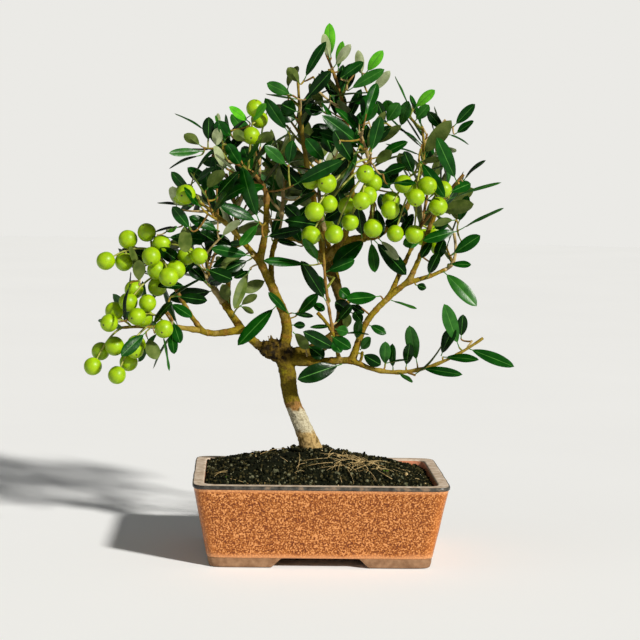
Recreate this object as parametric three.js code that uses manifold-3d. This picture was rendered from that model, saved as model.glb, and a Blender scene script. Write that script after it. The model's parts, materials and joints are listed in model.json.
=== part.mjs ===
// An olive bonsai in a glazed rectangular pot, in millimetres, +Z up, seen from the -Y side.
// The sizes below are measured from the middle of the pot's underside.
import * as THREE from "three";
import { mergeVertices } from "three/addons/utils/BufferGeometryUtils.js";
import Module from "manifold-3d";

const wasm = await Module();
wasm.setup();

// Clear gap between neighbouring solids, overlap of joined ones, and the longest edge not worth keeping
const GAP = 0.3;
const OVERLAP = 1;
const SLIVER = 0.1;
const WELD = 1e-4;

// Pot: a rectangle with bowed sides, flared from foot to rim, on four corner feet
const POT = {
  rimLength: 204,
  rimWidth: 149,
  height: 67,
  flare: 13,
  bow: 18,
  lipWidth: 9,
  lipDepth: 2.4,
  lipStep: 0.4,
  edge: 0.8,
  wall: 9,
  footHeight: 7.5,
  footWidth: 17,
  floorLevel: 16,
  frontArch: 38.5,
  sideArch: 26,
  archSlant: 7.5,
  columns: 40,
};

// Soil: filled to just under the rim, fuller on the left, heaped up in lumps to a flat spot at the trunk
const SOIL = {
  edgeLeft: 66,
  edgeRight: 62,
  groundLevel: 86,
  padRadius: 14,
  easeLeft: 0.95,
  easeRight: 1,
  lump: 1.6,
  lumpLength: 29,
  rings: 7,
  columns: 40,
};

// Trunk: leaning to the left, flared at the ground, with a pruned knob at the fork
const TRUNK = {
  path: [[-5, 0, 82], [-14, 0, 105], [-23.5, 0, 127], [-26.5, 0, 147], [-31, 0, 164]],
  footRadius: 7.7,
  topRadius: 7.4,
  waist: 1.1,
  flare: 2.2,
  flareReach: 0.09,
  knob: { centre: [-37, 0, 166], size: [13, 9.5, 7.5], tilt: 0.25 },
  groundBlock: 100,
  sides: 10,
  steps: 10,
};

// Boughs: parent and place on it from 0 to 1, bends, tip, and radius at each end
const BOUGHS = [
  ["bough_left", "trunk", 1, [[-50, 1, 170], [-66, 4, 185]], [-80, 11, 204], 3.9, 2.8],
  ["bough_low_left", "bough_left", 0.62, [[-86, -6, 180]], [-100, -12, 183], 2.9, 2.3],
  ["bough_left_rise", "bough_low_left", 0.86, [[-106, -9, 195]], [-113, -12, 207], 2, 1.7],
  ["bough_centre_left", "trunk", 1, [[-28, -3, 187], [-36, -7, 209]], [-51, -11, 240], 4.6, 3.2],
  ["bough_upper_left", "bough_centre_left", 1, [[-47, -12, 262]], [-46, -12, 286], 2.8, 2.2],
  ["bough_left_high", "bough_centre_left", 0.97, [[-61, -14, 251]], [-71, -19, 262], 2.4, 1.9],
  ["bough_inner", "bough_centre_left", 0.8, [[-41, 4, 243]], [-36, 12, 262], 2.4, 1.9],
  ["bough_rear", "trunk", 0.94, [[-4, 8, 167]], [18, 17, 182], 5.8, 4.6],
  ["bough_rear_rise", "bough_rear", 0.97, [[17, 22, 206]], [3, 26, 240], 4.5, 3.9],
  ["bough_rear_right", "bough_rear_rise", 1, [[20, 22, 255]], [45, 16, 260], 3.6, 2.6],
  ["bough_rear_left", "bough_rear_rise", 0.96, [[-14, 32, 253]], [-28, 42, 257], 2.8, 2],
  ["bough_leader", "bough_rear_rise", 1, [[-4, 27, 276]], [-12, 20, 312], 2.9, 2],
  ["bough_crown", "bough_rear_right", 0.45, [[24, 17, 288]], [23, 12, 316], 2.6, 1.9],
  ["bough_front", "bough_rear_right", 0.8, [[40, 2, 280]], [38, -12, 303], 2.3, 1.8],
  ["bough_crown_right", "bough_rear_right", 1, [[65, 8, 278]], [76, 0, 306], 2.4, 1.8],
  ["bough_low_right", "trunk", 0.93, [[-2, -7, 158], [22, -11, 160]], [37, -13, 155], 4.4, 1.9],
  ["bough_right", "bough_low_right", 0.72, [[36, -8, 190], [52, -5, 209]], [71, -2, 225], 2.7, 2.3],
  ["bough_right_upper", "bough_right", 1, [[80, -4, 247]], [86, -6, 268], 2.1, 1.7],
  ["bough_right_side", "bough_right", 0.96, [[89, 2, 229]], [101, 6, 234], 1.9, 1.6],
  ["bough_stub", "bough_low_right", 0.56, [[12, -14, 171]], [9, -16, 184], 1.8, 1.3],
  ["bough_back", "bough_rear_rise", 0.45, [[12, 40, 232]], [4, 56, 262], 3, 2],
  ["bough_back_left", "bough_left", 0.92, [[-76, 29, 222]], [-72, 44, 246], 2.3, 1.7],
  ["bough_back_right", "bough_right", 0.72, [[66, 18, 232]], [78, 38, 254], 2.1, 1.7],
].map(([name, parent, place, bends, tip, rootRadius, tipRadius]) => (
  { name, parent, place, bends, tip, rootRadius, tipRadius }
));
const BOUGH_SIDES = 5;
const BOUGH_STEP = 13;
const BOUGH_LEAST_STEPS = 3;

// Masses of foliage: bough, tip of the stem, half sizes of the space, twigs, seed, and fruit
// as place on the stem, end of the hanging stalk, and number of olives
const MASSES = [
  ["leaves_low_left", "bough_low_left", [-160, -20, 185], [58, 42, 42], 5, 1, [
    [1, [-179, -28, 162], 3], [0.7, [-160, -36, 156], 4], [0.9, [-164, -36, 192], 2],
    [0.45, [-142, -46, 198], 3], [0.35, [-124, -44, 190], 1]]],
  ["leaves_left", "bough_left_rise", [-138, -18, 254], [54, 44, 44], 5, 2, [
    [0.85, [-166, -26, 243], 3], [1, [-137, -36, 249], 3], [0.7, [-124, -44, 233], 3],
    [0.9, [-106, -34, 248], 2], [0.5, [-150, -34, 213], 4]]],
  ["leaves_left_inner", "bough_left", [-104, 22, 238], [48, 42, 46], 5, 3, []],
  ["leaves_left_high", "bough_left_high", [-104, -34, 290], [50, 46, 50], 5, 4, [
    [0.85, [-106, -50, 294], 2]]],
  ["leaves_upper_left", "bough_upper_left", [-90, -22, 324], [62, 50, 46], 8, 5, [
    [0.6, [-58, -30, 354], 3]]],
  ["leaves_centre_left", "bough_inner", [-34, 18, 318], [44, 44, 50], 5, 6, []],
  ["leaves_top_left", "bough_leader", [-22, 10, 386], [52, 50, 58], 7, 7, []],
  ["leaves_top", "bough_crown", [0, 2, 408], [54, 50, 54], 7, 8, []],
  ["leaves_front", "bough_front", [26, -38, 344], [58, 46, 62], 6, 9, [
    [0.38, [-8, -40, 268], 1], [0.27, [9, -50, 270], 1], [0.1, [38, -34, 276], 1], [0.15, [22, -36, 280], 2],
    [0.3, [28, -60, 296], 4], [0.5, [-6, -58, 287], 3], [0.65, [-10, -52, 299], 3]]],
  ["leaves_right_top", "bough_crown_right", [78, -8, 350], [56, 50, 54], 7, 10, [
    [0.1, [59, -22, 271], 1], [0.16, [73, -20, 271], 1], [0.2, [54, -38, 289], 4],
    [0.25, [88, -34, 293], 2], [0.4, [71, -50, 299], 3]]],
  ["leaves_right_outer", "bough_right_upper", [112, -14, 312], [48, 42, 54], 6, 11, []],
  ["leaves_right_side", "bough_right_side", [108, 10, 264], [44, 42, 46], 5, 12, []],
  ["leaves_low_right", "bough_low_right", [130, -23, 181], [74, 40, 34], 3, 93, []],
  ["leaves_centre", "bough_stub", [0, -24, 242], [46, 40, 54], 3, 14, []],
  ["leaves_back", "bough_back", [0, 84, 322], [56, 46, 54], 7, 15, [[0.3, [8, 82, 272], 4]]],
  ["leaves_back_left", "bough_back_left", [-76, 72, 302], [52, 46, 50], 6, 16, []],
  ["leaves_back_right", "bough_back_right", [92, 66, 304], [54, 46, 50], 6, 17, [
    [0.35, [98, 64, 256], 3]]],
  ["leaves_rear_left", "bough_rear_left", [-46, 52, 316], [46, 44, 52], 5, 18, []],
].map(([name, bough, tip, reach, twigs, seed, fruit]) => ({ name, bough, tip, reach, twigs, seed, fruit }));

// How shoots branch and bear leaves in opposite pairs
const SHOOT = {
  stemBow: 0.45,
  stemEnd: 1,
  spaceMiddle: 0.6,
  spaceLift: 0.2,
  firstTwig: 0.25,
  twigTurn: 2.4,
  forkAngle: 0.9,
  forkSpread: 0.35,
  twigLength: 0.72,
  twigShrink: 0.35,
  lengthSpread: [0.8, 1.2],
  lift: 0.16,
  twigRadius: [1.15, 0.75],
  tries: 8,
  pairSpacing: 14.5,
  firstPair: 0.3,
  lastPair: 0.97,
  stemSides: 4,
  stemSteps: 4,
  twigSides: 3,
};

// Leaf: blunt, leathery, standing off its twig and facing out of the crown and up
const LEAF = {
  length: 39,
  width: 13,
  thickness: 1.2,
  openAngle: 1.05,
  closeAngle: 0.5,
  angleSpread: 0.4,
  turnSpread: 1.2,
  sizeSpread: [0.78, 1.08],
  youngSize: 0.85,
  out: 0.8,
  up: 0.5,
  toss: 1.3,
  tries: 16,
  foot: 0.1,
  steps: 16,
};
const CROWN_MIDDLE = [0, 25, 270];

// Olive fruit on hanging stalks
const OLIVE = {
  radius: 7.5,
  neck: 2.2,
  columns: 5,
  rows: 3,
  stalkRadius: 0.9,
  stalkSteps: 3,
  arch: 0.25,
  spacing: 1.1,
  firstPlace: 0.2,
  lastPlace: 0.97,
  spread: 1.15,
  hang: 0.35,
  tries: 16,
};

// Room kept between a leaf, twig or fruit and what grew before it
const ROOM = 0.6;
const BALL_STEP = 2;

// Seeds: apart from mass to mass, and within a mass from shoot to shoot and from fruit to fruit
const SEED_STEP = 100;
const FRUIT_SEED = 90;

const FINISHES = {
  pot: { color: 0xb0643a, roughness: 0.35 },
  soil: { color: 0x241d18, roughness: 1 },
  trunk: { color: 0x9a8a6c, roughness: 0.9 },
  bough: { color: 0x8d7434, roughness: 0.8 },
  leaves: { color: 0x2f5f2b, roughness: 0.5 },
};

const UP = new THREE.Vector3(0, 0, 1);
const STEEP = 0.95;
const vector = (values) => new THREE.Vector3(...values);
const mix = (start, end, share) => start + (end - start) * share;

// Numbers between 0 and 1 that are the same for the same seed
function dice(seed) {
  let state = Math.imul(seed, 2654435761) >>> 0;
  return () => {
    state = (Math.imul(state, 1664525) + 1013904223) >>> 0;
    return state / 4294967296;
  };
}

// A closed skin of rings; the first and last rows are each one point
function skin(rows, columns, place) {
  const profile = Array.from({ length: rows }, (_, row) => new THREE.Vector2(1, row));
  const geometry = new THREE.LatheGeometry(profile, columns);
  const position = geometry.getAttribute("position");
  for (let index = 0; index < position.count; index += 1) {
    const column = Math.floor(index / rows) % columns;
    const point = place(index % rows, (column / columns) * 2 * Math.PI);
    position.setXYZ(index, point.x, point.y, point.z);
  }
  return geometry;
}

// A closed geometry as a solid, its faces turned outwards
function toSolid(geometry) {
  geometry.deleteAttribute("normal");
  geometry.deleteAttribute("uv");
  const merged = mergeVertices(geometry, WELD);
  const places = merged.getAttribute("position");
  const corners = merged.getIndex().array;
  const [a, b, c] = [new THREE.Vector3(), new THREE.Vector3(), new THREE.Vector3()];
  const triangles = [];
  let volume = 0;
  for (let index = 0; index < corners.length; index += 3) {
    const [i, j, k] = corners.slice(index, index + 3);
    if (i === j || j === k || k === i) continue;
    triangles.push([i, j, k]);
    a.fromBufferAttribute(places, i);
    b.fromBufferAttribute(places, j);
    c.fromBufferAttribute(places, k);
    volume += a.dot(b.cross(c));
  }
  const triVerts = new Uint32Array(triangles.flatMap(([i, j, k]) => (volume < 0 ? [i, k, j] : [i, j, k])));
  const vertProperties = new Float32Array(places.array);
  return new wasm.Manifold(new wasm.Mesh({ numProp: 3, vertProperties, triVerts }));
}

// The largest piece of a solid, without sealed hollows or loose scraps
function largest(solid) {
  return solid.decompose().reduce((best, piece) => (piece.volume() > best.volume() ? piece : best));
}

// A named mesh of a solid
function toMesh(name, solid, finish) {
  const { vertProperties, triVerts } = solid.getMesh();
  const geometry = new THREE.BufferGeometry();
  geometry.setAttribute("position", new THREE.BufferAttribute(vertProperties, 3));
  geometry.setIndex(new THREE.BufferAttribute(triVerts, 1));
  geometry.computeVertexNormals();
  const mesh = new THREE.Mesh(geometry, new THREE.MeshStandardMaterial({ ...finish, metalness: 0 }));
  mesh.name = name;
  return mesh;
}

// A point on the pot's bowed rectangle whose long half axis is given
function outline(angle, halfLength) {
  const halfWidth = halfLength - (POT.rimLength - POT.rimWidth) / 2;
  const bowed = (value) => Math.sign(value) * Math.abs(value) ** (2 / POT.bow);
  const exact = (value) => (Math.abs(value) < WELD ? 0 : value);
  const [cosine, sine] = [exact(Math.cos(angle)), exact(Math.sin(angle))];
  return new THREE.Vector2(halfLength * bowed(cosine), halfWidth * bowed(sine));
}

// Long half axis of the pot's outer wall at a level
function wallAt(level) {
  return POT.rimLength / 2 - POT.lipStep - POT.flare * (1 - level / POT.height);
}

// A bowed rectangular solid from a profile of half axis and level that starts and ends on the axis
function bowedSolid(profile) {
  return toSolid(skin(profile.length, POT.columns, (row, angle) => {
    const [halfLength, level] = profile[row];
    if (halfLength === 0) return new THREE.Vector3(0, 0, level);
    const edge = outline(angle, halfLength);
    return new THREE.Vector3(edge.x, edge.y, level);
  }));
}

// A slot under the pot between two feet, narrower at the top
function arch(halfWidth, length) {
  const rise = POT.footHeight;
  const shape = new THREE.Shape([
    new THREE.Vector2(-halfWidth - POT.archSlant, -rise),
    new THREE.Vector2(halfWidth + POT.archSlant, -rise),
    new THREE.Vector2(halfWidth - POT.archSlant, rise),
    new THREE.Vector2(-halfWidth + POT.archSlant, rise),
  ]);
  const geometry = new THREE.ExtrudeGeometry(shape, { depth: length, bevelEnabled: false });
  geometry.translate(0, 0, -length / 2);
  geometry.rotateX(Math.PI / 2);
  return geometry;
}

function makePot() {
  const rim = POT.rimLength / 2;
  const inner = rim - POT.lipWidth;
  const body = bowedSolid([
    [0, POT.footHeight],
    [wallAt(POT.footHeight), POT.footHeight],
    [wallAt(POT.height - POT.lipDepth), POT.height - POT.lipDepth - POT.lipStep],
    [rim, POT.height - POT.lipDepth],
    [rim, POT.height - POT.edge],
    [rim - POT.edge, POT.height],
    [inner, POT.height],
    [inner - POT.edge, POT.height - POT.edge],
    [wallAt(POT.floorLevel) - POT.wall, POT.floorLevel],
    [0, POT.floorLevel],
  ]);
  const footing = bowedSolid([
    [0, 0],
    [wallAt(0), 0],
    [wallAt(POT.footHeight), POT.footHeight],
    [wallAt(POT.footHeight), POT.footHeight + OVERLAP],
    [0, POT.footHeight + OVERLAP],
  ]);
  const recess = bowedSolid([
    [0, -OVERLAP],
    [wallAt(0) - POT.footWidth, -OVERLAP],
    [wallAt(0) - POT.footWidth, POT.footHeight],
    [0, POT.footHeight],
  ]);
  const feet = footing
    .subtract(recess)
    .subtract(toSolid(arch(POT.frontArch, POT.rimLength)))
    .subtract(toSolid(arch(POT.sideArch, 2 * POT.rimLength).rotateZ(Math.PI / 2)));
  return body.add(feet);
}

// Where the trunk meets the ground
function trunkFoot() {
  const [low, high] = TRUNK.path.map(vector);
  return low.lerp(high, (SOIL.groundLevel - low.z) / (high.z - low.z));
}

// A value between its left and right ones, at an angle round the pot
function leftToRight(left, right, angle) {
  return mix(left, right, (1 + Math.cos(angle)) / 2);
}

// Level of the soil along the wall
function edgeLevel(angle) {
  return leftToRight(SOIL.edgeLeft, SOIL.edgeRight, angle);
}

// Level of the heap at a place in plan, from the wall at share 0 to the flat spot at share 1
function heapLevel(x, y, angle, share) {
  const ease = leftToRight(SOIL.easeLeft, SOIL.easeRight, angle);
  const [turnX, turnY] = [x, y].map((value) => (2 * Math.PI * value) / SOIL.lumpLength);
  const lumps = Math.sin(turnX + Math.sin(turnY / 2)) * Math.sin(turnY + Math.cos(turnX / 2));
  const level = mix(edgeLevel(angle), SOIL.groundLevel, share ** ease);
  return level + SOIL.lump * lumps * Math.sin(Math.PI * share);
}

function makeSoil() {
  const foot = trunkFoot();
  const floorEdge = wallAt(POT.floorLevel) - POT.wall - GAP;
  const innerEdge = POT.rimLength / 2 - POT.lipWidth - POT.edge;
  const depth = POT.height - POT.edge - POT.floorLevel;
  const topEdge = (angle) => mix(floorEdge, innerEdge - GAP, (edgeLevel(angle) - POT.floorLevel) / depth);
  const rows = SOIL.rings + 4;
  return toSolid(skin(rows, SOIL.columns, (row, angle) => {
    if (row === 0) return new THREE.Vector3(0, 0, POT.floorLevel + GAP);
    if (row === rows - 1) return foot.clone();
    const edge = outline(angle, row === 1 ? floorEdge : topEdge(angle));
    if (row === 1) return new THREE.Vector3(edge.x, edge.y, POT.floorLevel + GAP);
    const share = (row - 2) / SOIL.rings;
    const x = mix(edge.x, foot.x + SOIL.padRadius * Math.cos(angle), share);
    const y = mix(edge.y, foot.y + SOIL.padRadius * Math.sin(angle), share);
    return new THREE.Vector3(x, y, heapLevel(x, y, angle, share));
  }));
}

// Two directions square to a line, the first one level where it can be
function across(direction) {
  const pole = Math.abs(direction.z) > STEEP ? new THREE.Vector3(1, 0, 0) : UP;
  const side = new THREE.Vector3().crossVectors(pole, direction).normalize();
  return [side, new THREE.Vector3().crossVectors(direction, side)];
}

// A tapering limb round a curve, thicker and longer by grow
function limbSolid(curve, radiusAt, sides, steps, grow = 0) {
  const [level] = across(curve.getPoint(1).sub(curve.getPoint(0)).normalize());
  const rows = steps + 3;
  return toSolid(skin(rows, sides, (row, angle) => {
    const share = THREE.MathUtils.clamp((row - 1) / steps, 0, 1);
    const direction = curve.getTangent(share);
    const centre = curve.getPoint(share);
    if (share === 0) centre.addScaledVector(direction, -grow);
    if (share === 1) centre.addScaledVector(direction, grow);
    if (row === 0 || row === rows - 1) return centre;
    const upward = new THREE.Vector3().crossVectors(direction, level).normalize();
    const sideways = new THREE.Vector3().crossVectors(upward, direction);
    const radius = radiusAt(share) + grow;
    return centre
      .addScaledVector(sideways, radius * Math.cos(angle))
      .addScaledVector(upward, radius * Math.sin(angle));
  }));
}

function smoothCurve(points) {
  return new THREE.CatmullRomCurve3(points, false, "catmullrom", 0.5);
}

// A curve drawn as straight chords, so that what grows on it starts on the solid's own axis
class Chords extends THREE.Curve {
  constructor(curve, steps) {
    super();
    this.smooth = curve;
    this.corners = curve.getPoints(steps);
  }

  getPoint(share) {
    const last = this.corners.length - 1;
    const index = Math.min(Math.floor(share * last), last - 1);
    return this.corners[index].clone().lerp(this.corners[index + 1], share * last - index);
  }

  getTangent(share) {
    return this.smooth.getTangent(share);
  }
}

const trunkLimb = {
  name: "trunk",
  curve: smoothCurve(TRUNK.path.map(vector)),
  radiusAt: (share) => mix(TRUNK.footRadius, TRUNK.topRadius, share)
    - TRUNK.waist * Math.sin(Math.PI * share)
    + TRUNK.flare * Math.exp(-share / TRUNK.flareReach),
};

function makeTrunk(grow = 0) {
  const stem = limbSolid(trunkLimb.curve, trunkLimb.radiusAt, TRUNK.sides, TRUNK.steps, grow);
  const { centre, size, tilt } = TRUNK.knob;
  const knob = new THREE.IcosahedronGeometry(1, 1);
  knob.scale(...size.map((half) => half + grow));
  knob.rotateY(tilt);
  knob.translate(...centre);
  const side = TRUNK.groundBlock;
  const ground = new THREE.BoxGeometry(side, side, side);
  ground.translate(0, 0, SOIL.groundLevel + GAP - grow - side / 2);
  return stem.add(toSolid(knob)).subtract(toSolid(ground));
}

// The boughs' curves, each starting on its parent's
function layBoughs() {
  const limbs = new Map([["trunk", trunkLimb]]);
  BOUGHS.forEach(({ name, parent, place, bends, tip, rootRadius, tipRadius }) => {
    const start = limbs.get(parent).curve.getPoint(place);
    const curve = smoothCurve([start, ...bends.map(vector), vector(tip)]);
    limbs.set(name, { name, curve, radiusAt: (share) => mix(rootRadius, tipRadius, share) });
  });
  return limbs;
}

function boughSolid(limb, grow = 0) {
  const steps = Math.max(BOUGH_LEAST_STEPS, Math.round(limb.curve.getLength() / BOUGH_STEP));
  return limbSolid(limb.curve, limb.radiusAt, BOUGH_SIDES, steps, grow);
}

function boxesMeet(first, second) {
  const [a, b] = [first.boundingBox(), second.boundingBox()];
  return [0, 1, 2].every((axis) => a.min[axis] <= b.max[axis] && b.min[axis] <= a.max[axis]);
}

// Each bough's solid, cut clear of the trunk and of the boughs before it
function makeBoughs(limbs) {
  const cutters = [makeTrunk(GAP)];
  return BOUGHS.map(({ name }) => {
    const limb = limbs.get(name);
    const whole = boughSolid(limb);
    const near = cutters.filter((cutter) => boxesMeet(cutter, whole));
    cutters.push(boughSolid(limb, GAP));
    return { name, solid: largest(near.reduce((solid, cutter) => solid.subtract(cutter), whole)) };
  });
}

// Each mass's stem, starting a gap past its bough's tip, and the middle of its space
function layStems(limbs) {
  return MASSES.map((mass) => {
    const { curve, radiusAt } = limbs.get(mass.bough);
    const direction = curve.getTangent(1);
    const start = curve.getPoint(1).addScaledVector(direction, GAP);
    const tip = vector(mass.tip);
    const bend = start.clone().addScaledVector(direction, SHOOT.stemBow * start.distanceTo(tip));
    const stem = new Chords(new THREE.QuadraticBezierCurve3(start, bend, tip), SHOOT.stemSteps);
    const thick = (share) => mix(radiusAt(1), SHOOT.stemEnd, share);
    const middle = stem.getPoint(SHOOT.spaceMiddle).addScaledVector(UP, SHOOT.spaceLift * mass.reach[2]);
    return { ...mass, stem, radiusAt: thick, middle };
  });
}

// Balls along a limb, for telling what would touch it
function ballsAlong(curve, radiusAt, owner) {
  const count = Math.ceil(curve.getLength() / BALL_STEP);
  return Array.from({ length: count + 1 }, (_, index) => {
    const share = index / count;
    return { centre: curve.getPoint(share), radius: radiusAt(share), share, owner };
  });
}

// Whether a point lies in a mass's space
function inSpace(mass, point) {
  const [x, y, z] = mass.reach;
  const offset = point.clone().sub(mass.middle);
  return (offset.x / x) ** 2 + (offset.y / y) ** 2 + (offset.z / z) ** 2 < 1;
}

function ballsMeet(first, second) {
  return first.centre.distanceTo(second.centre) < first.radius + second.radius + ROOM;
}

// A direction leaning away from a line by an angle, turned round it
function leaning(line, angle, turn) {
  const [side, upward] = across(line);
  return line.clone().multiplyScalar(Math.cos(angle))
    .addScaledVector(side, Math.sin(angle) * Math.cos(turn))
    .addScaledVector(upward, Math.sin(angle) * Math.sin(turn));
}

// A stalk from the stem, arched and hanging
function layStalk(mass, place, end) {
  const start = mass.stem.getPoint(place);
  const tip = vector(end);
  const bend = start.clone().lerp(tip, 0.5).addScaledVector(UP, OLIVE.arch * start.distanceTo(tip));
  return new Chords(new THREE.QuadraticBezierCurve3(start, bend, tip), OLIVE.stalkSteps);
}

// An olive at the end of a stalk, or beside it further up
function layOlive(stalk, index, turn) {
  const back = (index * OLIVE.spacing * OLIVE.radius) / stalk.getLength();
  const share = Math.max(OLIVE.firstPlace, OLIVE.lastPlace - back);
  const along = stalk.getTangent(share);
  const beside = leaning(along, OLIVE.spread, turn).addScaledVector(UP, -OLIVE.hang);
  const direction = index === 0 ? along : beside.normalize();
  const centre = stalk.getPoint(share).addScaledVector(direction, OLIVE.radius + OLIVE.neck);
  return { centre, direction, radius: OLIVE.radius, owner: stalk };
}

// A mass's fruit on free stalks, each olive turned and tried again where it would touch something
function growFruit(mass, taken) {
  const clusters = [];
  mass.fruit.forEach(([place, end, count], number) => {
    const random = dice(mass.seed * SEED_STEP + FRUIT_SEED + number);
    const stalk = layStalk(mass, place, end);
    const blocked = (ball) => taken.some((other) => other.owner !== mass.stem && ballsMeet(ball, other));
    const balls = ballsAlong(stalk, () => OLIVE.stalkRadius, stalk);
    if (balls.some((ball) => ball.share > OLIVE.firstPlace && blocked(ball))) return;
    const olives = [];
    for (let index = 0; index < count; index += 1) {
      for (let attempt = 0; attempt < OLIVE.tries; attempt += 1) {
        const olive = layOlive(stalk, index, 2 * Math.PI * random());
        if (blocked(olive) || olives.some((other) => ballsMeet(olive, other))) continue;
        olives.push(olive);
        break;
      }
    }
    taken.push(...olives, ...balls);
    clusters.push({ stalk, olives });
  });
  return clusters;
}

// A twig from the stem, lifting towards the light
function layTwig(mass, index, random) {
  const share = mix(SHOOT.firstTwig, 1, (index + 0.5) / mass.twigs);
  const angle = SHOOT.forkAngle + SHOOT.forkSpread * (random() - 0.5);
  const turn = SHOOT.twigTurn * index + 2 * Math.PI * random();
  const direction = leaning(mass.stem.getTangent(share), angle, turn);
  const longest = mean(mass.reach) * SHOOT.twigLength;
  const length = longest * (1 - SHOOT.twigShrink * share) * mix(...SHOOT.lengthSpread, random());
  const start = mass.stem.getPoint(share);
  const end = start.clone().addScaledVector(direction, length).addScaledVector(UP, SHOOT.lift * length);
  return new THREE.LineCurve3(start, end);
}

function mean(values) {
  return values.reduce((sum, value) => sum + value, 0) / values.length;
}

// The stem's twigs that keep to the space and touch nothing, turned and tried again where they would
function growTwigs(mass, taken) {
  const random = dice(mass.seed);
  const twigs = [];
  for (let index = 0; index < mass.twigs; index += 1) {
    for (let attempt = 0; attempt < SHOOT.tries; attempt += 1) {
      const twig = layTwig(mass, index, random);
      const balls = ballsAlong(twig, twigRadius, twig);
      const free = balls.filter((ball) => ball.share > SHOOT.firstPair);
      if (free.some((ball) => taken.some((other) => ballsMeet(ball, other)))) continue;
      if (!inSpace(mass, twig.getPoint(1))) continue;
      taken.push(...balls);
      twigs.push(twig);
      break;
    }
  }
  return twigs;
}

function twigRadius(share) {
  return mix(...SHOOT.twigRadius, share);
}

// Places of the leaves on a shoot, in opposite pairs, each pair a quarter turn from the last
function layLeaves(curve, random) {
  const room = curve.getLength() * (1 - SHOOT.firstPair);
  const pairs = Math.max(2, Math.round(room / SHOOT.pairSpacing) + 1);
  const turn = Math.PI * random();
  const places = [];
  for (let pair = 0; pair < pairs; pair += 1) {
    const age = 1 - pair / (pairs - 1);
    const share = mix(SHOOT.lastPair, SHOOT.firstPair, age);
    for (const half of [0, Math.PI]) places.push({ share, age, turn: turn + half + (pair * Math.PI) / 2 });
  }
  return places;
}

// A leaf at its place on a shoot, turned and tilted by chance, its core half its thickness below the midrib
function layLeaf(curve, { share, age, turn }, random) {
  const start = curve.getPoint(share);
  const angle = mix(LEAF.closeAngle, LEAF.openAngle, age) + LEAF.angleSpread * (random() - 0.5);
  const direction = leaning(curve.getTangent(share), angle, turn + LEAF.turnSpread * (random() - 0.5));
  const face = start.clone().sub(vector(CROWN_MIDDLE)).setLength(LEAF.out).addScaledVector(UP, LEAF.up);
  face.add(new THREE.Vector3(random() - 0.5, random() - 0.5, random() - 0.5).multiplyScalar(LEAF.toss));
  face.addScaledVector(direction, -face.dot(direction)).normalize();
  const side = new THREE.Vector3().crossVectors(face, direction);
  const size = mix(...LEAF.sizeSpread, random()) * mix(LEAF.youngSize, 1, age);
  const core = start.clone().addScaledVector(face, -LEAF.thickness / 2);
  return { start, core, direction, face, side, length: LEAF.length * size, width: LEAF.width * size };
}

// Half the width of a leaf at a share of its length
function halfWidth(leaf, share) {
  return (0.5 - Math.abs(share - 0.5)) * leaf.width;
}

// Balls along a leaf's midrib and edges, past its foot
function leafBalls(leaf) {
  const balls = [];
  for (let step = 1; step <= LEAF.steps; step += 1) {
    const share = mix(LEAF.foot, 1, step / LEAF.steps);
    const middle = leaf.core.clone().addScaledVector(leaf.direction, share * leaf.length);
    for (const offset of [-1, 0, 1]) {
      const centre = middle.clone().addScaledVector(leaf.side, offset * halfWidth(leaf, share));
      balls.push({ centre, radius: LEAF.thickness / 2, owner: leaf });
    }
  }
  return balls;
}

// Whether a ball touches a leaf's blade, past its foot
function bladeMeets(leaf, { centre, radius }) {
  const room = radius + ROOM;
  const offset = centre.clone().sub(leaf.core);
  if (Math.abs(offset.dot(leaf.face)) > room + LEAF.thickness / 2) return false;
  const along = offset.dot(leaf.direction);
  if (along < LEAF.foot * leaf.length || along > leaf.length + room) return false;
  const share = Math.min(along / leaf.length, 1);
  return Math.abs(offset.dot(leaf.side)) < halfWidth(leaf, share) + room;
}

// A shoot's leaves that keep to the space and touch nothing, turned and tried again where they would
function growLeaves(mass, shoot, random, taken, leaves) {
  const grown = [];
  for (const place of layLeaves(shoot, random)) {
    for (let attempt = 0; attempt < LEAF.tries; attempt += 1) {
      const leaf = layLeaf(shoot, place, random);
      const balls = leafBalls(leaf);
      const near = (other) => other.start.distanceTo(leaf.start) < 2 * LEAF.length;
      if (!balls.every(({ centre }) => inSpace(mass, centre))) continue;
      if (taken.some((ball) => ball.owner !== shoot && bladeMeets(leaf, ball))) continue;
      if (leaves.filter(near).some((other) => balls.some((ball) => bladeMeets(other, ball)))) continue;
      taken.push(...balls);
      leaves.push(leaf);
      grown.push(leaf);
      break;
    }
  }
  return grown;
}

// A leaf folded along its midrib: a tetrahedron, one edge the rib, the opposite edge across the blade
function leafSolid(leaf) {
  const blade = new THREE.TetrahedronGeometry(Math.sqrt(3), 0);
  blade.rotateZ(-Math.PI / 4);
  blade.translate(0, 0, -1);
  blade.scale(leaf.length / Math.sqrt(8), leaf.width / Math.sqrt(8), LEAF.thickness / 2);
  const frame = new THREE.Matrix4().makeBasis(leaf.direction, leaf.side, leaf.face);
  frame.setPosition(leaf.start.clone().addScaledVector(leaf.direction, leaf.length / 2));
  return toSolid(blade.applyMatrix4(frame));
}

// An olive whose stalk end is drawn out to a neck that meets the stalk
function oliveSolid({ centre, direction, radius }) {
  const ball = new THREE.SphereGeometry(radius, OLIVE.columns, OLIVE.rows);
  const places = ball.getAttribute("position");
  for (let index = 0; index < places.count; index += 1) {
    if (places.getY(index) > radius - SLIVER) places.setY(index, radius + OLIVE.neck);
  }
  ball.applyQuaternion(new THREE.Quaternion().setFromUnitVectors(new THREE.Vector3(0, -1, 0), direction));
  ball.translate(...centre.toArray());
  return toSolid(ball);
}

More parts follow.
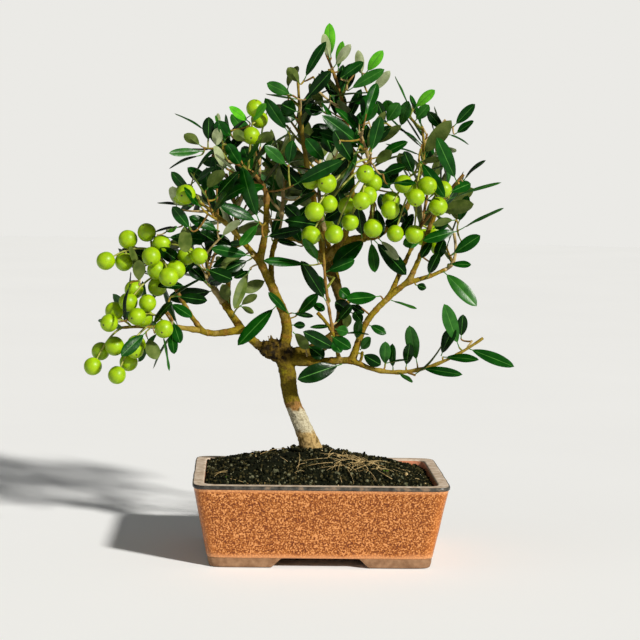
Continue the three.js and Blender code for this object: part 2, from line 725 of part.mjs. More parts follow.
// One mass: its stem, fruit, twigs and leaves, fused
function massSolid({ stem, radiusAt, clusters, twigs, leaves }) {
  const solids = [limbSolid(stem, radiusAt, SHOOT.stemSides, SHOOT.stemSteps)];
  clusters.forEach(({ stalk, olives }) => {
    solids.push(limbSolid(stalk, () => OLIVE.stalkRadius, SHOOT.twigSides, OLIVE.stalkSteps));
    solids.push(...olives.map(oliveSolid));
  });
  solids.push(...twigs.map((twig) => limbSolid(twig, twigRadius, SHOOT.twigSides, 1)));
  solids.push(...leaves.map(leafSolid));
  return largest(wasm.Manifold.union(solids)).simplify(SLIVER);
}

// All masses: fruit first, then twigs, then leaves, each clear of what grew before
function growMasses(limbs) {
  const masses = layStems(limbs);
  const taken = [];
  limbs.forEach(({ curve, radiusAt }, name) => taken.push(...ballsAlong(curve, radiusAt, name)));
  masses.forEach(({ stem, radiusAt }) => taken.push(...ballsAlong(stem, radiusAt, stem)));
  const fruited = masses.map((mass) => ({ ...mass, clusters: growFruit(mass, taken) }));
  const branched = fruited.map((mass) => ({ ...mass, twigs: growTwigs(mass, taken) }));
  const grown = [];
  return branched.map((mass) => {
    const shoots = [mass.stem, ...mass.twigs];
    const leaves = shoots.flatMap((shoot, index) => (
      growLeaves(mass, shoot, dice(mass.seed * SEED_STEP + index), taken, grown)
    ));
    return { ...mass, leaves };
  });
}

function buildTree() {
  const tree = new THREE.Group();
  const limbs = layBoughs();
  tree.add(toMesh("pot", makePot(), FINISHES.pot));
  tree.add(toMesh("soil", makeSoil(), FINISHES.soil));
  tree.add(toMesh("trunk", makeTrunk(), FINISHES.trunk));
  makeBoughs(limbs).forEach(({ name, solid }) => tree.add(toMesh(name, solid, FINISHES.bough)));
  growMasses(limbs).forEach((mass) => {
    tree.add(toMesh(mass.name, massSolid(mass), FINISHES.leaves));
  });
  return tree;
}

// The origin is under the middle of the whole plant's box
const bonsai = new THREE.Group();
const tree = buildTree();
const box = new THREE.Box3().setFromObject(tree);
const middle = box.getCenter(new THREE.Vector3());
tree.position.set(-middle.x, -middle.y, -box.min.z);
bonsai.add(tree);

export default bonsai;
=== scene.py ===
"""Looks of an olive bonsai in a glazed rectangular pot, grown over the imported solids.

Sizes are in millimetres from the middle of the pot's underside, x to the right, y away and z up.
"""
import json
import math
from itertools import combinations
from types import SimpleNamespace as Sizes

import bpy
import numpy as np
from mathutils import Matrix, Vector
from mathutils.kdtree import KDTree
from numpy.linalg import norm

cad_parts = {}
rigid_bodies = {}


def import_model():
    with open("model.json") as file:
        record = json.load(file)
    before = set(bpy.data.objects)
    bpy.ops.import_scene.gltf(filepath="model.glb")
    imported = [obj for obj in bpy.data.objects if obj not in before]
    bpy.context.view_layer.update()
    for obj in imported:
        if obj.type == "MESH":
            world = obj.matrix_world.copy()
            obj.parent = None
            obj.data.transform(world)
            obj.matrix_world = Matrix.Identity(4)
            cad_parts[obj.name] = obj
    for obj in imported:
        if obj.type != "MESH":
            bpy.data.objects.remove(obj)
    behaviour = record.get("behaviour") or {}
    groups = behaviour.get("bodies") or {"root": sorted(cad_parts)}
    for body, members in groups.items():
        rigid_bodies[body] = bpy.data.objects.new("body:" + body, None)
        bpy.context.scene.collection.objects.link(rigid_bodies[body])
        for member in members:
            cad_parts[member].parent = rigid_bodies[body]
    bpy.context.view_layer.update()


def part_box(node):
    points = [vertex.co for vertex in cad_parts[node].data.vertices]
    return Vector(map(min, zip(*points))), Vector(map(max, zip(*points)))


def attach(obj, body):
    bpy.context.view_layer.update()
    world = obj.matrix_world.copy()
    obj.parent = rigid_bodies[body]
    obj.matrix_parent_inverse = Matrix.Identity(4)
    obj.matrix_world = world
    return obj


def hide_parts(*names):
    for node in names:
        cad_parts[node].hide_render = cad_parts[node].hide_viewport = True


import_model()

MM = 0.001
TURN = 2 * math.pi
POT_LOW, POT_HIGH = (np.array(corner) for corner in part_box("pot"))
POT_MIDDLE = (POT_LOW + POT_HIGH) / 2 * [1, 1, 0]

# Layers of noise below are given as grain in mm, how much each counts, and seed

# Pot: a rectangle with bowed sides, flared from foot to rim, on four corner feet
POT = Sizes(
    rim_length=204, rim_width=149, height=67, flare=13, bow=18, lip_width=9, lip_depth=2.4, lip_step=0.4,
    edge=0.8, wall=9, foot_height=7.5, foot_width=17, foot_edge=0.9, foot_bevel=0.3, floor_level=16,
    front_arch=38.5, side_arch=26, seam=0.4, line_depth=0.4, line_rows=3, wall_start=2, wall_rows=40,
    columns=260, foot_round=1.4, neck_round=0.5, lip_round=1.1, inner_round=1.2, crease=45,
    under_shares=(0.3, 0.6, 0.9, 0.97), lip_shares=(0.3, 0.5, 0.7),
    inside_shares=(0.06, 0.12, 0.2, 0.4, 0.7),
)

# Glaze: its unevenness, and the tints where it is thin on the corners and pooled over foot and under lip
COAT = Sizes(
    wobble=0.22, waves=[(16, 1, 3), (6, 0.5, 4)], streak=(9, 9, 30), streak_seed=8, least=0.4,
    thin=(190, 110, 38), corner_reach=7, corner_most=0.85, pooled=(222, 164, 116),
    band_start=1, band_height=8, band_most=0.7, top_band=3.2, top_most=0.6,
)

# Steps that space points evenly round the rim, bunched where the outline turns fastest
PACE = Sizes(even=4001, near=500, nearest=-12, furthest=-1, eased=801, ease=4)

# Soil: filled to just under the rim, fuller on the left, heaped up in lumps to a flat spot at the trunk,
# with grains, a collar of them round the trunk's foot, and tufts of moss
SOIL = Sizes(
    edge_left=66, edge_right=62, ground_level=86, pad_radius=14, ease_left=0.95, ease_right=1, lump=1.6,
    lump_length=29, rings=44, ring_ease=1.1, columns=150, crumb=0.9, crumbs=[(2.6, 1, 22), (5.5, 0.6, 23)],
    settle=0.06, sunk=0.9, seed=41, gap=0.3, spots=4000, grains=7600, grain=(0.5, 1.7),
    # Grain shares run black, brown, pale grey and straw; the pale grey grains are a painted highlight
    grain_stretch=(0.5, 1.4), grain_rough=0.25, grain_lift=0.3, grain_mix=(0.58, 0.33, 0.085, 0.005),
    collar=420, collar_reach=(8.6, 16), collar_rise=(-1.2, 0.7), moss=24, moss_spots=5,
    moss_reach=(0.1, 0.6), moss_spread=(9, 7, 1), moss_size=(0.6, 1.3), moss_rough=(0.7, 1.3),
)

# Dry roots on the soil, one in four of them loose and the others in a tuft
FIBRE = Sizes(
    count=110, loose=4, tuft=(30, -24), tuft_reach=(24, 15), length=(8, 30), length_ease=1.4,
    rise=(0.5, 3), rise_ease=3, sway=0.3, arch=(1, 4), lift=0.5, radius=0.3, thick=(0.6, 1.6), tip=0.12,
)

# Trunk: leaning to the left, flared at the ground, with a pruned knob at the fork
TRUNK = Sizes(
    path=[[-5, 0, 82], [-14, 0, 105], [-23.5, 0, 127], [-26.5, 0, 147], [-31, 0, 164]],
    foot_radius=7.7, top_radius=7.4, waist=1.1, flare=2.2, flare_reach=0.09,
    knob=[-37, 0, 166], knob_size=[13.5, 9.5, 8.6], knob_tilt=0.25, knob_edge=(1.05, 1.55),
    knob_columns=40, knob_rows=24, spikes=46, spike=(2.2, 5.2), spike_up=0.25, spike_root=0.9,
    spike_lean=0.9, spike_radius=(0.9, 1.7), spike_tip=0.35,
)

# Skins of the limbs, with a collar where a bough leaves its parent, and the form of the pruned stubs
LIMB = Sizes(
    trunk_sides=48, trunk_steps=60, sides=22, least_steps=8, step=2, collar=0.4, collar_reach=2.2,
    stub_bend=0.35, stub_flare=0.5, stub_fall=6, stub_sides=14, stub_steps=14,
)

# Boughs: parent and place on it from 0 to 1, bends, tip, and radius at each end
BOUGHS = [
    ["bough_left", "trunk", 1, [[-50, 1, 170], [-66, 4, 185]], [-80, 11, 204], 3.9, 2.8],
    ["bough_low_left", "bough_left", 0.62, [[-86, -6, 180]], [-100, -12, 183], 2.9, 2.3],
    ["bough_left_rise", "bough_low_left", 0.86, [[-106, -9, 195]], [-113, -12, 207], 2, 1.7],
    ["bough_centre_left", "trunk", 1, [[-28, -3, 187], [-36, -7, 209]], [-51, -11, 240], 4.6, 3.2],
    ["bough_upper_left", "bough_centre_left", 1, [[-47, -12, 262]], [-46, -12, 286], 2.8, 2.2],
    ["bough_left_high", "bough_centre_left", 0.97, [[-61, -14, 251]], [-71, -19, 262], 2.4, 1.9],
    ["bough_inner", "bough_centre_left", 0.8, [[-41, 4, 243]], [-36, 12, 262], 2.4, 1.9],
    ["bough_rear", "trunk", 0.94, [[-4, 8, 167]], [18, 17, 182], 5.8, 4.6],
    ["bough_rear_rise", "bough_rear", 0.97, [[17, 22, 206]], [3, 26, 240], 4.5, 3.9],
    ["bough_rear_right", "bough_rear_rise", 1, [[20, 22, 255]], [45, 16, 260], 3.6, 2.6],
    ["bough_rear_left", "bough_rear_rise", 0.96, [[-14, 32, 253]], [-28, 42, 257], 2.8, 2],
    ["bough_leader", "bough_rear_rise", 1, [[-4, 27, 276]], [-12, 20, 312], 2.9, 2],
    ["bough_crown", "bough_rear_right", 0.45, [[24, 17, 288]], [23, 12, 316], 2.6, 1.9],
    ["bough_front", "bough_rear_right", 0.8, [[40, 2, 280]], [38, -12, 303], 2.3, 1.8],
    ["bough_crown_right", "bough_rear_right", 1, [[65, 8, 278]], [76, 0, 306], 2.4, 1.8],
    ["bough_low_right", "trunk", 0.93, [[-2, -7, 158], [22, -11, 160]], [37, -13, 155], 4.4, 1.9],
    ["bough_right", "bough_low_right", 0.72, [[36, -8, 190], [52, -5, 209]], [71, -2, 225], 2.7, 2.3],
    ["bough_right_upper", "bough_right", 1, [[80, -4, 247]], [86, -6, 268], 2.1, 1.7],
    ["bough_right_side", "bough_right", 0.96, [[89, 2, 229]], [101, 6, 234], 1.9, 1.6],
    ["bough_stub", "bough_low_right", 0.56, [[12, -14, 171]], [9, -16, 184], 1.8, 1.3],
    ["bough_back", "bough_rear_rise", 0.45, [[12, 40, 232]], [4, 56, 262], 3, 2],
    ["bough_back_left", "bough_left", 0.92, [[-76, 29, 222]], [-72, 44, 246], 2.3, 1.7],
    ["bough_back_right", "bough_right", 0.72, [[66, 18, 232]], [78, 38, 254], 2.1, 1.7],
]

# Pruned stubs: bough, place on it, tip, and radius
STUBS = [
    ["bough_stub", 0.8, [-4, -17, 199], 1.5],
    ["bough_right_upper", 0.9, [95, -10, 288], 1.5],
    ["bough_low_right", 0.8, [33, -18, 168], 1.3],
    ["bough_rear_rise", 0.3, [23, 28, 205], 1.8],
    ["bough_left", 0.4, [-52, 8, 189], 1.4],
]

# Masses of foliage: bough, tip of the stem, half sizes of the space, twigs, seed, and fruit
# as place on the stem, end of the hanging stalk, and number of olives
MASSES = [
    ["leaves_low_left", "bough_low_left", [-160, -20, 185], [58, 42, 42], 5, 1, [
      [1, [-179, -28, 162], 3], [0.7, [-160, -36, 156], 4], [0.9, [-164, -36, 192], 2],
      [0.45, [-142, -46, 198], 3], [0.35, [-124, -44, 190], 1]]],
    ["leaves_left", "bough_left_rise", [-138, -18, 254], [54, 44, 44], 5, 2, [
      [0.85, [-166, -26, 243], 3], [1, [-137, -36, 249], 3], [0.7, [-124, -44, 233], 3],
      [0.9, [-106, -34, 248], 2], [0.5, [-150, -34, 213], 4]]],
    ["leaves_left_inner", "bough_left", [-104, 22, 238], [48, 42, 46], 5, 3, []],
    ["leaves_left_high", "bough_left_high", [-104, -34, 290], [50, 46, 50], 5, 4, [
      [0.85, [-106, -50, 294], 2]]],
    ["leaves_upper_left", "bough_upper_left", [-90, -22, 324], [62, 50, 46], 8, 5, [
      [0.6, [-58, -30, 354], 3]]],
    ["leaves_centre_left", "bough_inner", [-34, 18, 318], [44, 44, 50], 5, 6, []],
    ["leaves_top_left", "bough_leader", [-22, 10, 386], [52, 50, 58], 7, 7, []],
    ["leaves_top", "bough_crown", [0, 2, 408], [54, 50, 54], 7, 8, []],
    ["leaves_front", "bough_front", [26, -38, 344], [58, 46, 62], 6, 9, [
      [0.38, [-8, -40, 268], 1], [0.27, [9, -50, 270], 1], [0.1, [38, -34, 276], 1],
      [0.15, [22, -36, 280], 2], [0.3, [28, -60, 296], 4], [0.5, [-6, -58, 287], 3],
      [0.65, [-10, -52, 299], 3]]],
    ["leaves_right_top", "bough_crown_right", [78, -8, 350], [56, 50, 54], 7, 10, [
      [0.1, [59, -22, 271], 1], [0.16, [73, -20, 271], 1], [0.2, [54, -38, 289], 4],
      [0.25, [88, -34, 293], 2], [0.4, [71, -50, 299], 3]]],
    ["leaves_right_outer", "bough_right_upper", [112, -14, 312], [48, 42, 54], 6, 11, []],
    ["leaves_right_side", "bough_right_side", [108, 10, 264], [44, 42, 46], 5, 12, []],
    ["leaves_low_right", "bough_low_right", [130, -23, 181], [74, 40, 34], 3, 93, []],
    ["leaves_centre", "bough_stub", [0, -24, 242], [46, 40, 54], 3, 14, []],
    ["leaves_back", "bough_back", [0, 84, 322], [56, 46, 54], 7, 15, [[0.3, [8, 82, 272], 4]]],
    ["leaves_back_left", "bough_back_left", [-76, 72, 302], [52, 46, 50], 6, 16, []],
    ["leaves_back_right", "bough_back_right", [92, 66, 304], [54, 46, 50], 6, 17, [
      [0.35, [98, 64, 256], 3]]],
    ["leaves_rear_left", "bough_rear_left", [-46, 52, 316], [46, 44, 52], 5, 18, []],
]

# Share of its space that a mass's leaves keep to where the picture shows sky round it
OPEN_SPACE = {
    "leaves_top_left": 0.6, "leaves_top": 0.68, "leaves_right_top": 0.69, "leaves_right_outer": 0.69,
    "leaves_right_side": 0.71, "leaves_low_right": 0.7, "leaves_left": 0.82, "leaves_centre": 0.6,
    "leaves_front": 0.82, "leaves_back_right": 0.86, "leaves_upper_left": 0.9, "leaves_left_high": 0.9,
}

# How shoots branch and bear leaves in opposite pairs; side shoots are the finer twigs
SHOOT = Sizes(
    stem_bow=0.45, stem_end=1, space_middle=0.6, space_lift=0.2, first_twig=0.25, twig_turn=2.4,
    fork_angle=0.9, fork_spread=0.35, twig_length=0.72, twig_shrink=0.35, length_spread=(0.8, 1.2),
    lift=0.16, pair_spacing=16, first_pair=0.3, last_pair=0.97, side_places=(0.5, 0.8), side_length=0.5,
    side_seed=60, side_first=1.2, side_shrink=0.5, bushy=4, open_spacing=60, spur_radius=(0.85, 0.6),
    spur_bend=0.4, held=1.5, past_leaf=0.03, gap=0.3, sunk=1.0, joint=1.04, knot=0.28, knot_sharp=5,
    step=1.6, least_steps=6, spur_step=2, least_spur_steps=4, stem_sides=10, twig_sides=6, crease=50,
)
TWIG = Sizes(radius=(1.15, 0.75), tries=8, space=1)
SIDE_TWIG = Sizes(radius=(0.7, 0.5), tries=6, space=0.9)

# Leaf: blunt, leathery, standing off its twig and facing out of the crown and up
LEAF = Sizes(
    length=39, width=12.6, thickness=0.5, open_angle=1.05, close_angle=0.5, angle_spread=0.4,
    turn_spread=1.2, size_spread=(0.82, 1.08), young_size=0.88, out=1.15, up=0.5, toss=0.85, tries=16,
    space=0.97, foot=0.1, steps=16, near_wood=1.3, near_leaf=2.2, stations=13, base_power=0.85,
    tip_power=0.68, upper=(-1, -0.55, -0.05, 0.05, 0.55, 1), lower=(0.5, 0, -0.5), fold=(0.12, 0.5),
    fold_base=1.1, fold_fade=0.5, bend=(-0.06, 0.2), twist=(-0.45, 0.45), twist_middle=0.3, roll=0.22,
    wave=0.12, wave_turn=9, wave_apart=2, groove=0.12, groove_width=0.1, rib=0.35, rib_fade=0.7,
    petiole=0.1, petiole_radius=0.5, petiole_end=0.8, petiole_bend=0.06, petiole_drop=0.4,
    petiole_sunk=0.05, bud_length=0.3, bud_angle=0.3, bud_spread=(0.7, 1.2), crease=48,
)

# Tones of a spray by chance, and how often it ends in young leaves, more so high up
SPRAY = Sizes(
    deep=0.45, mid=0.65, sage=0.15, seed=7, fresh=0.05, fresh_high=0.2, high=(330, 400), young_age=0.3,
)

# Single leaves: how far their tips come nearer than their roots, the steps that swing them clear, and
# how their faces lean
LONE = Sizes(
    seed=5000, near=0.3, steps=5, step=4, lean=0.35, turn=2.4, shade=0.25, edge=0.25, up=0.4, under=0.35,
)

# Middle of the crown, which the leaves of the masses face away from
CROWN_MIDDLE = np.array([0.0, 25.0, 270.0])

# Single leaves on bare wood and at the crown's edge, by tone and by the side that shows: root and tip
# in pixels of the picture, depth of the root in mm, and the width's share
LONE_LEAVES = {
    ("young", "up"): [
        (331, 58, 328, 25, 0, 0.75), (338, 71, 340, 42, 4, 0.6), (366, 73, 382, 51, 0, 0.7),
        (414, 109, 433, 89, -12, 0.75), (249, 122, 231, 107, -32, 0.6), (252, 122, 264, 104, -32, 0.6),
    ],
    ("sage", "under"): [
        (330, 60, 323, 33, -2, 0.6), (334, 67, 351, 44, -3, 0.6), (362, 76, 358, 50, 2, 0.6),
        (372, 93, 390, 71, -4, 0.65), (216, 148, 218, 128, -34, 0.7), (221, 238, 239, 217, -36, 0.6),
        (177, 209, 173, 181, -34, 0.7), (379, 239, 400, 260, 10, 0.6),
    ],
    ("deep", "up"): [
        (304, 80, 323, 41, -4, 0.8), (341, 78, 363, 62, -6, 0.7), (288, 132, 265, 99, -26, 0.85),
        (350, 102, 377, 99, -10, 0.7), (454, 126, 475, 104, -14, 0.7), (455, 134, 474, 121, -14, 0.7),
        (457, 182, 436, 137, -18, 1), (458, 224, 469, 195, -10, 0.7), (420, 161, 443, 192, -26, 0.8),
        (294, 185, 337, 161, -44, 0.9), (326, 162, 306, 140, -42, 0.85), (289, 165, 292, 141, -34, 0.75),
        (363, 147, 324, 115, -38, 0.95), (378, 157, 407, 141, -36, 0.75), (232, 137, 219, 122, -34, 0.8),
        (240, 163, 227, 144, -36, 0.75), (225, 142, 218, 120, -34, 0.9), (227, 145, 240, 164, -38, 0.8),
        (259, 221, 239, 172, -34, 1.1), (258, 222, 224, 203, -34, 0.85), (219, 231, 191, 216, -36, 0.75),
        (251, 256, 213, 248, -26, 0.75), (309, 265, 265, 258, -24, 0.7), (170, 303, 192, 316, -34, 0.75),
        (173, 321, 180, 343, -36, 0.7), (171, 328, 174, 354, -36, 0.65), (146, 332, 121, 356, -50, 0.8),
        (201, 207, 183, 188, -52, 0.75), (191, 230, 172, 206, -46, 0.75), (458, 231, 425, 238, -10, 0.8),
        (326, 272, 353, 260, -6, 0.8), (288, 214, 301, 240, 18, 0.8), (367, 239, 333, 262, 10, 1.3),
        (452, 255, 479, 235, -6, 0.9), (449, 264, 471, 264, 2, 0.55), (277, 305, 237, 344, -9, 1.15),
        (296, 316, 318, 294, -6, 0.85), (289, 314, 268, 292, -6, 0.5), (380, 296, 346, 300, -6, 1.05),
        (332, 339, 341, 353, -17, 0.8), (331, 336, 350, 348, -17, 0.8), (369, 325, 386, 333, -8, 0.6),
        (393, 369, 391, 345, -13, 0.6), (420, 368, 460, 374, -18, 0.6), (443, 357, 477, 358, -18, 0.65),
        (467, 348, 514, 366, -20, 0.8), (351, 299, 340, 289, -2, 0.8), (311, 303, 325, 310, -8, 0.6),
        (433, 229, 448, 220, -6, 0.8), (329, 298, 317, 275, -8, 0.6),
    ],
    ("olive", "under"): [
        (300, 84, 287, 66, -5, 0.7), (373, 164, 393, 150, -38, 0.7), (248, 141, 232, 131, -36, 0.7),
        (253, 143, 275, 133, -36, 0.7), (201, 146, 184, 133, -32, 0.7), (206, 190, 223, 169, -38, 0.9),
        (250, 269, 233, 309, -14, 0.8), (240, 306, 257, 294, -12, 0.6), (240, 306, 254, 313, -12, 0.4),
        (246, 254, 221, 265, -8, 0.7), (267, 280, 243, 291, -6, 0.8), (212, 262, 196, 246, 6, 0.8),
        (139, 283, 139, 258, -50, 0.8), (184, 223, 187, 254, -40, 0.9), (455, 220, 431, 222, -14, 0.7),
        (293, 332, 310, 348, -4, 0.8), (345, 330, 349, 313, -10, 0.6), (147, 337, 157, 360, -44, 0.9),
        (229, 303, 222, 284, 8, 0.8), (410, 174, 399, 153, -22, 0.8), (420, 162, 443, 158, -20, 0.5),
        (449, 206, 463, 217, -8, 0.9),
    ],
    ("mid", "up"): [
        (349, 90, 382, 69, -8, 0.75), (292, 95, 268, 84, -6, 0.75), (415, 121, 428, 105, -14, 0.75),
        (287, 166, 266, 146, -36, 0.75), (359, 124, 376, 104, -22, 1), (386, 123, 399, 103, -20, 0.9),
        (400, 128, 408, 101, -22, 0.95), (204, 151, 169, 153, -32, 0.6), (259, 223, 240, 246, -34, 0.75),
        (318, 262, 305, 237, -30, 0.85), (371, 240, 376, 273, 12, 0.8), (422, 239, 404, 243, -8, 0.85),
        (443, 271, 477, 304, 4, 1), (335, 329, 348, 332, -18, 0.7), (356, 340, 359, 320, -10, 0.85),
        (360, 350, 370, 338, -12, 0.7), (385, 366, 385, 342, -14, 0.75), (417, 363, 409, 326, -16, 0.95),
        (459, 347, 444, 304, -19, 1), (391, 114, 386, 100, -12, 0.8),
    ],
    # The two dark groups below are leaves in the crown's shade, darkened by a painted shade tone
    ("dark", "edge"): [
        (297, 99, 265, 95, -8, 0.6), (463, 181, 481, 157, -12, 0.7), (201, 155, 168, 163, -30, 0.6),
        (130, 284, 119, 318, -40, 0.7), (179, 227, 155, 229, -34, 0.6), (343, 333, 369, 332, -14, 0.45),
        (386, 363, 409, 358, -15, 0.45), (171, 297, 199, 278, -30, 0.7), (192, 206, 157, 202, -30, 0.5),
    ],
    ("dark", "up"): [
        (306, 99, 331, 71, -8, 0.9), (444, 131, 428, 111, -14, 0.7), (355, 165, 333, 130, -46, 1.05),
        (368, 148, 388, 125, -40, 0.85), (383, 174, 404, 165, -34, 0.8), (208, 142, 209, 118, -32, 0.8),
        (215, 199, 236, 171, -42, 1), (265, 237, 299, 229, -30, 0.75), (206, 269, 232, 279, -28, 0.95),
        (249, 260, 226, 270, -16, 0.75), (250, 270, 234, 278, -10, 0.6), (222, 246, 200, 232, 0, 0.9),
        (204, 250, 216, 228, 8, 0.9), (176, 296, 208, 301, -32, 0.7), (290, 234, 304, 206, 22, 0.9),
        (306, 238, 296, 210, 26, 0.9), (280, 220, 318, 223, -10, 0.9), (322, 222, 344, 206, -8, 1),
        (346, 218, 338, 192, 2, 0.9), (376, 206, 381, 237, -12, 0.8), (402, 216, 386, 226, -6, 0.9),
        (392, 218, 380, 194, 4, 0.9), (398, 240, 414, 214, 6, 0.9), (374, 240, 407, 275, 12, 1),
        (420, 260, 429, 242, -8, 0.7), (428, 276, 437, 253, -8, 0.8), (416, 285, 426, 288, -4, 0.5),
        (342, 364, 299, 378, -13, 1.15), (292, 313, 313, 316, -6, 0.35), (292, 325, 305, 325, -5, 0.5),
        (338, 350, 304, 332, -16, 0.9), (333, 326, 310, 327, -16, 0.4), (337, 322, 352, 305, -14, 0.7),
        (362, 354, 381, 365, -13, 0.8), (406, 367, 410, 343, -14, 0.7), (441, 356, 451, 327, -17, 0.95),
        (461, 338, 463, 316, -12, 0.7), (308, 346, 324, 357, -8, 0.9), (352, 313, 336, 302, 2, 0.9),
        (349, 304, 364, 313, 0, 0.5), (363, 323, 354, 312, -2, 0.7), (392, 190, 374, 171, -16, 1),
        (379, 188, 398, 168, -8, 1.1), (362, 238, 358, 206, -4, 1.1), (342, 232, 336, 204, 6, 1),
        (325, 112, 304, 108, -4, 0.8), (203, 247, 190, 228, 4, 0.9), (233, 247, 215, 236, -8, 0.8),
        (180, 262, 163, 250, -20, 0.9), (186, 286, 160, 284, -14, 0.9), (330, 178, 346, 158, -14, 1),
        (338, 196, 352, 176, 6, 1), (408, 226, 396, 204, 4, 1), (300, 196, 316, 176, 0, 1),
        (414, 175, 404, 151, -24, 0.8), (440, 196, 433, 174, -10, 0.8), (436, 262, 441, 240, -6, 0.9),
        (207, 283, 190, 264, -6, 0.9), (272, 238, 277, 217, 2, 0.6), (303, 222, 286, 206, 8, 0.9),
        (300, 246, 278, 239, 4, 0.5), (358, 134, 349, 113, -20, 0.7), (386, 122, 377, 101, -18, 0.6),
        (337, 130, 312, 128, -2, 0.8), (334, 137, 310, 136, 0, 0.7), (333, 155, 325, 134, -20, 1),
        (298, 112, 281, 104, -4, 1), (297, 120, 281, 112, -2, 1),
    ],
    ("deep", "edge"): [
        (448, 134, 470, 141, -14, 0.6), (388, 184, 414, 179, -40, 0.7), (206, 131, 177, 110, -30, 0.6),
        (396, 371, 413, 380, -14, 0.6),
    ],
    ("mid", "edge"): [
        (449, 199, 500, 179, -14, 0.65), (459, 230, 503, 206, -12, 0.7), (163, 333, 170, 371, -34, 0.6),
        (391, 300, 417, 309, -4, 0.7), (410, 107, 394, 76, -10, 0.5), (425, 172, 449, 165, -18, 0.5),
    ],
}

# Olive fruit on hanging stalks
OLIVE = Sizes(
    radius=7.5, neck=2.2, stretch=1.03, columns=26, rows=18, stalk_radius=0.9, stalk=(1.0, 0.7), arch=0.25,
    spacing=1.1, first_place=0.2, last_place=0.97, spread=1.15, hang=0.35, tries=16, dent=0.5,
    dent_reach=0.35, calyx=0.2, calyx_inner=0.5, tip=0.11, tip_dent=0.25, size_spread=(0.9, 1.03),
    uneven=0.015, uneven_waves=3, uneven_phase=6, pedicel=0.6, pedicel_flare=0.5, pedicel_ease=6,
    pedicel_arch=0.12, pedicel_sunk=0.4, crease=60,
)

# Room kept between a leaf, twig or fruit and what grew before it, and steps of the balls that tell
ROOM = 0.6
BALL_STEP = 2

# Seeds: apart from mass to mass, and within a mass from shoot to shoot and from fruit to fruit
SEED_STEP = 100
FRUIT_SEED = 90

# Number mixers of the dice, the same as the part's, and of the noise
DICE = Sizes(spread=2654435761, factor=1664525, step=1013904223, size=2**32)
HASH = Sizes(axes=(73856093, 19349663, 83492791), seed=15485863, factor=1274126177, shifts=(13, 16),
             low=0xFFFF)

# Bark: size of the remeshed grain, and how deep the relief is on the trunk, boughs and knob
BARK = Sizes(
    voxel=0.62, seed=5, sample=1.5, least_samples=4, trunk=0.5, plates=[(4.5, 0.7, 31), (1.6, 0.5, 33)],
    streak=0.5, streak_across=0.7, streak_along=4.5, streak_apart=17, streak_seed=32,
    cracks=(7, 7, 2.2), crack_seed=34, crack_from=0.45, crack_depth=1.5,
    bough=0.22, skin=[(3.2, 1, 35), (1.3, 0.8, 36)], node=0.27, node_step=15, node_shift=5, node_width=1.3,
    knob=1.5, ragged=[(3.2, 0.6, 37), (1.5, 0.55, 38)],
)

# Bark colours, as seen on screen
BARK_TONES = {
    "tan": (184, 158, 106), "pale": (198, 192, 166), "patch": (150, 112, 60), "olive": (116, 101, 14),
    # The moss tone is a painted highlight: a paler yellow olive for the trunk's lit front, high up
    "moss": (128, 118, 16), "knob": (90, 72, 16), "knob_dark": (36, 26, 4), "ochre": (138, 120, 18),
    "brown": (92, 74, 20), "node": (148, 98, 32), "rear": (66, 54, 16), "beige": (160, 138, 72),
}

# Where they show: heights of the trunk's bands, spots as grain in mm, seed and the noise from which they
# start and are full, and the most that shows of a colour
BARK_LOOK = Sizes(
    uneven=[(5, 3, 51), (1.8, 1.6, 52)], bands={"pale": (98, 102), "patch": (116, 119), "olive": (123, 126)},
    # The next heights, front band and spots place that painted highlight on the trunk's front
    moss_high=(140, 148), moss_front=(-1, 3), moss_spots=(6, 53, -0.1, 0.3), dark=1.3, dark_grain=2.2,
    dark_seed=54, dark_from=0.1, worn=0.75, worn_high=(99, 103), brown=0.5, brown_spots=(7, 55, -0.15, 0.5),
    beige=0.6, beige_spots=(4, 56, 0.35, 0.6), node=0.45, node_width=1.6, rear=0.7, olive=0.8,
    olive_run=(6, 34), knob_spots=(2.4, 57, -0.2, 0.4),
)

# Where the crown's back starts and its left side ends
BACK_FROM = 40
LEFT_TO = -30

# Camera, fitted to the pot and the trunk, and the light
CAMERA = Sizes(place=[-65.7, -1500.1, 320.9], yaw=2.47, pitch=-4.92, roll=1.03, focal=1848.3, frame=640,
               clip=(0.01, 100))
SENSOR = 36.0
LIGHT = Sizes(
    key_way=(0.577, -0.643, 0.535), key_angle=5, key_power=4.9, key_colour=(1.0, 0.965, 0.91),
    fill_way=(-0.74, -0.5, 0.45), fill_angle=80, fill_power=0.3, fill_colour=(0.94, 0.97, 1.0),
    pale=(236, 235, 231), room=0.15, wall=0.99,
)

# Floor, in metres, a little under the feet
FLOOR = Sizes(radius=6.0, rings=24, columns=96, drop=0.0004)

UP = np.array([0.0, 0.0, 1.0])
ACROSS = np.array([1.0, 0.0, 0.0])
STEEP = 0.95
CHORDS = 40


# Numbers, directions and noise

def mix(start, end, share):
    return start + (end - start) * share


def unit(vectors):
    return vectors / norm(vectors, axis=-1, keepdims=True)


def smooth_step(low, high, value):
    share = np.clip((value - low) / (high - low), 0, 1)
    return share * share * (3 - 2 * share)


def dice(seed):
    """Numbers between 0 and 1 that are the same for the same seed."""
    state = seed * DICE.spread % DICE.size

    def roll():
        nonlocal state
        state = (state * DICE.factor + DICE.step) % DICE.size
        return state / DICE.size

    return roll


def lattice(cells, seed):
    """Numbers from 0 to 1, one for each whole-number cell."""
    first, second = HASH.shifts
    mixed = cells @ np.array(HASH.axes) + seed * HASH.seed
    mixed = (mixed ^ (mixed >> first)) * HASH.factor
    return ((mixed ^ (mixed >> second)) & HASH.low) / HASH.low


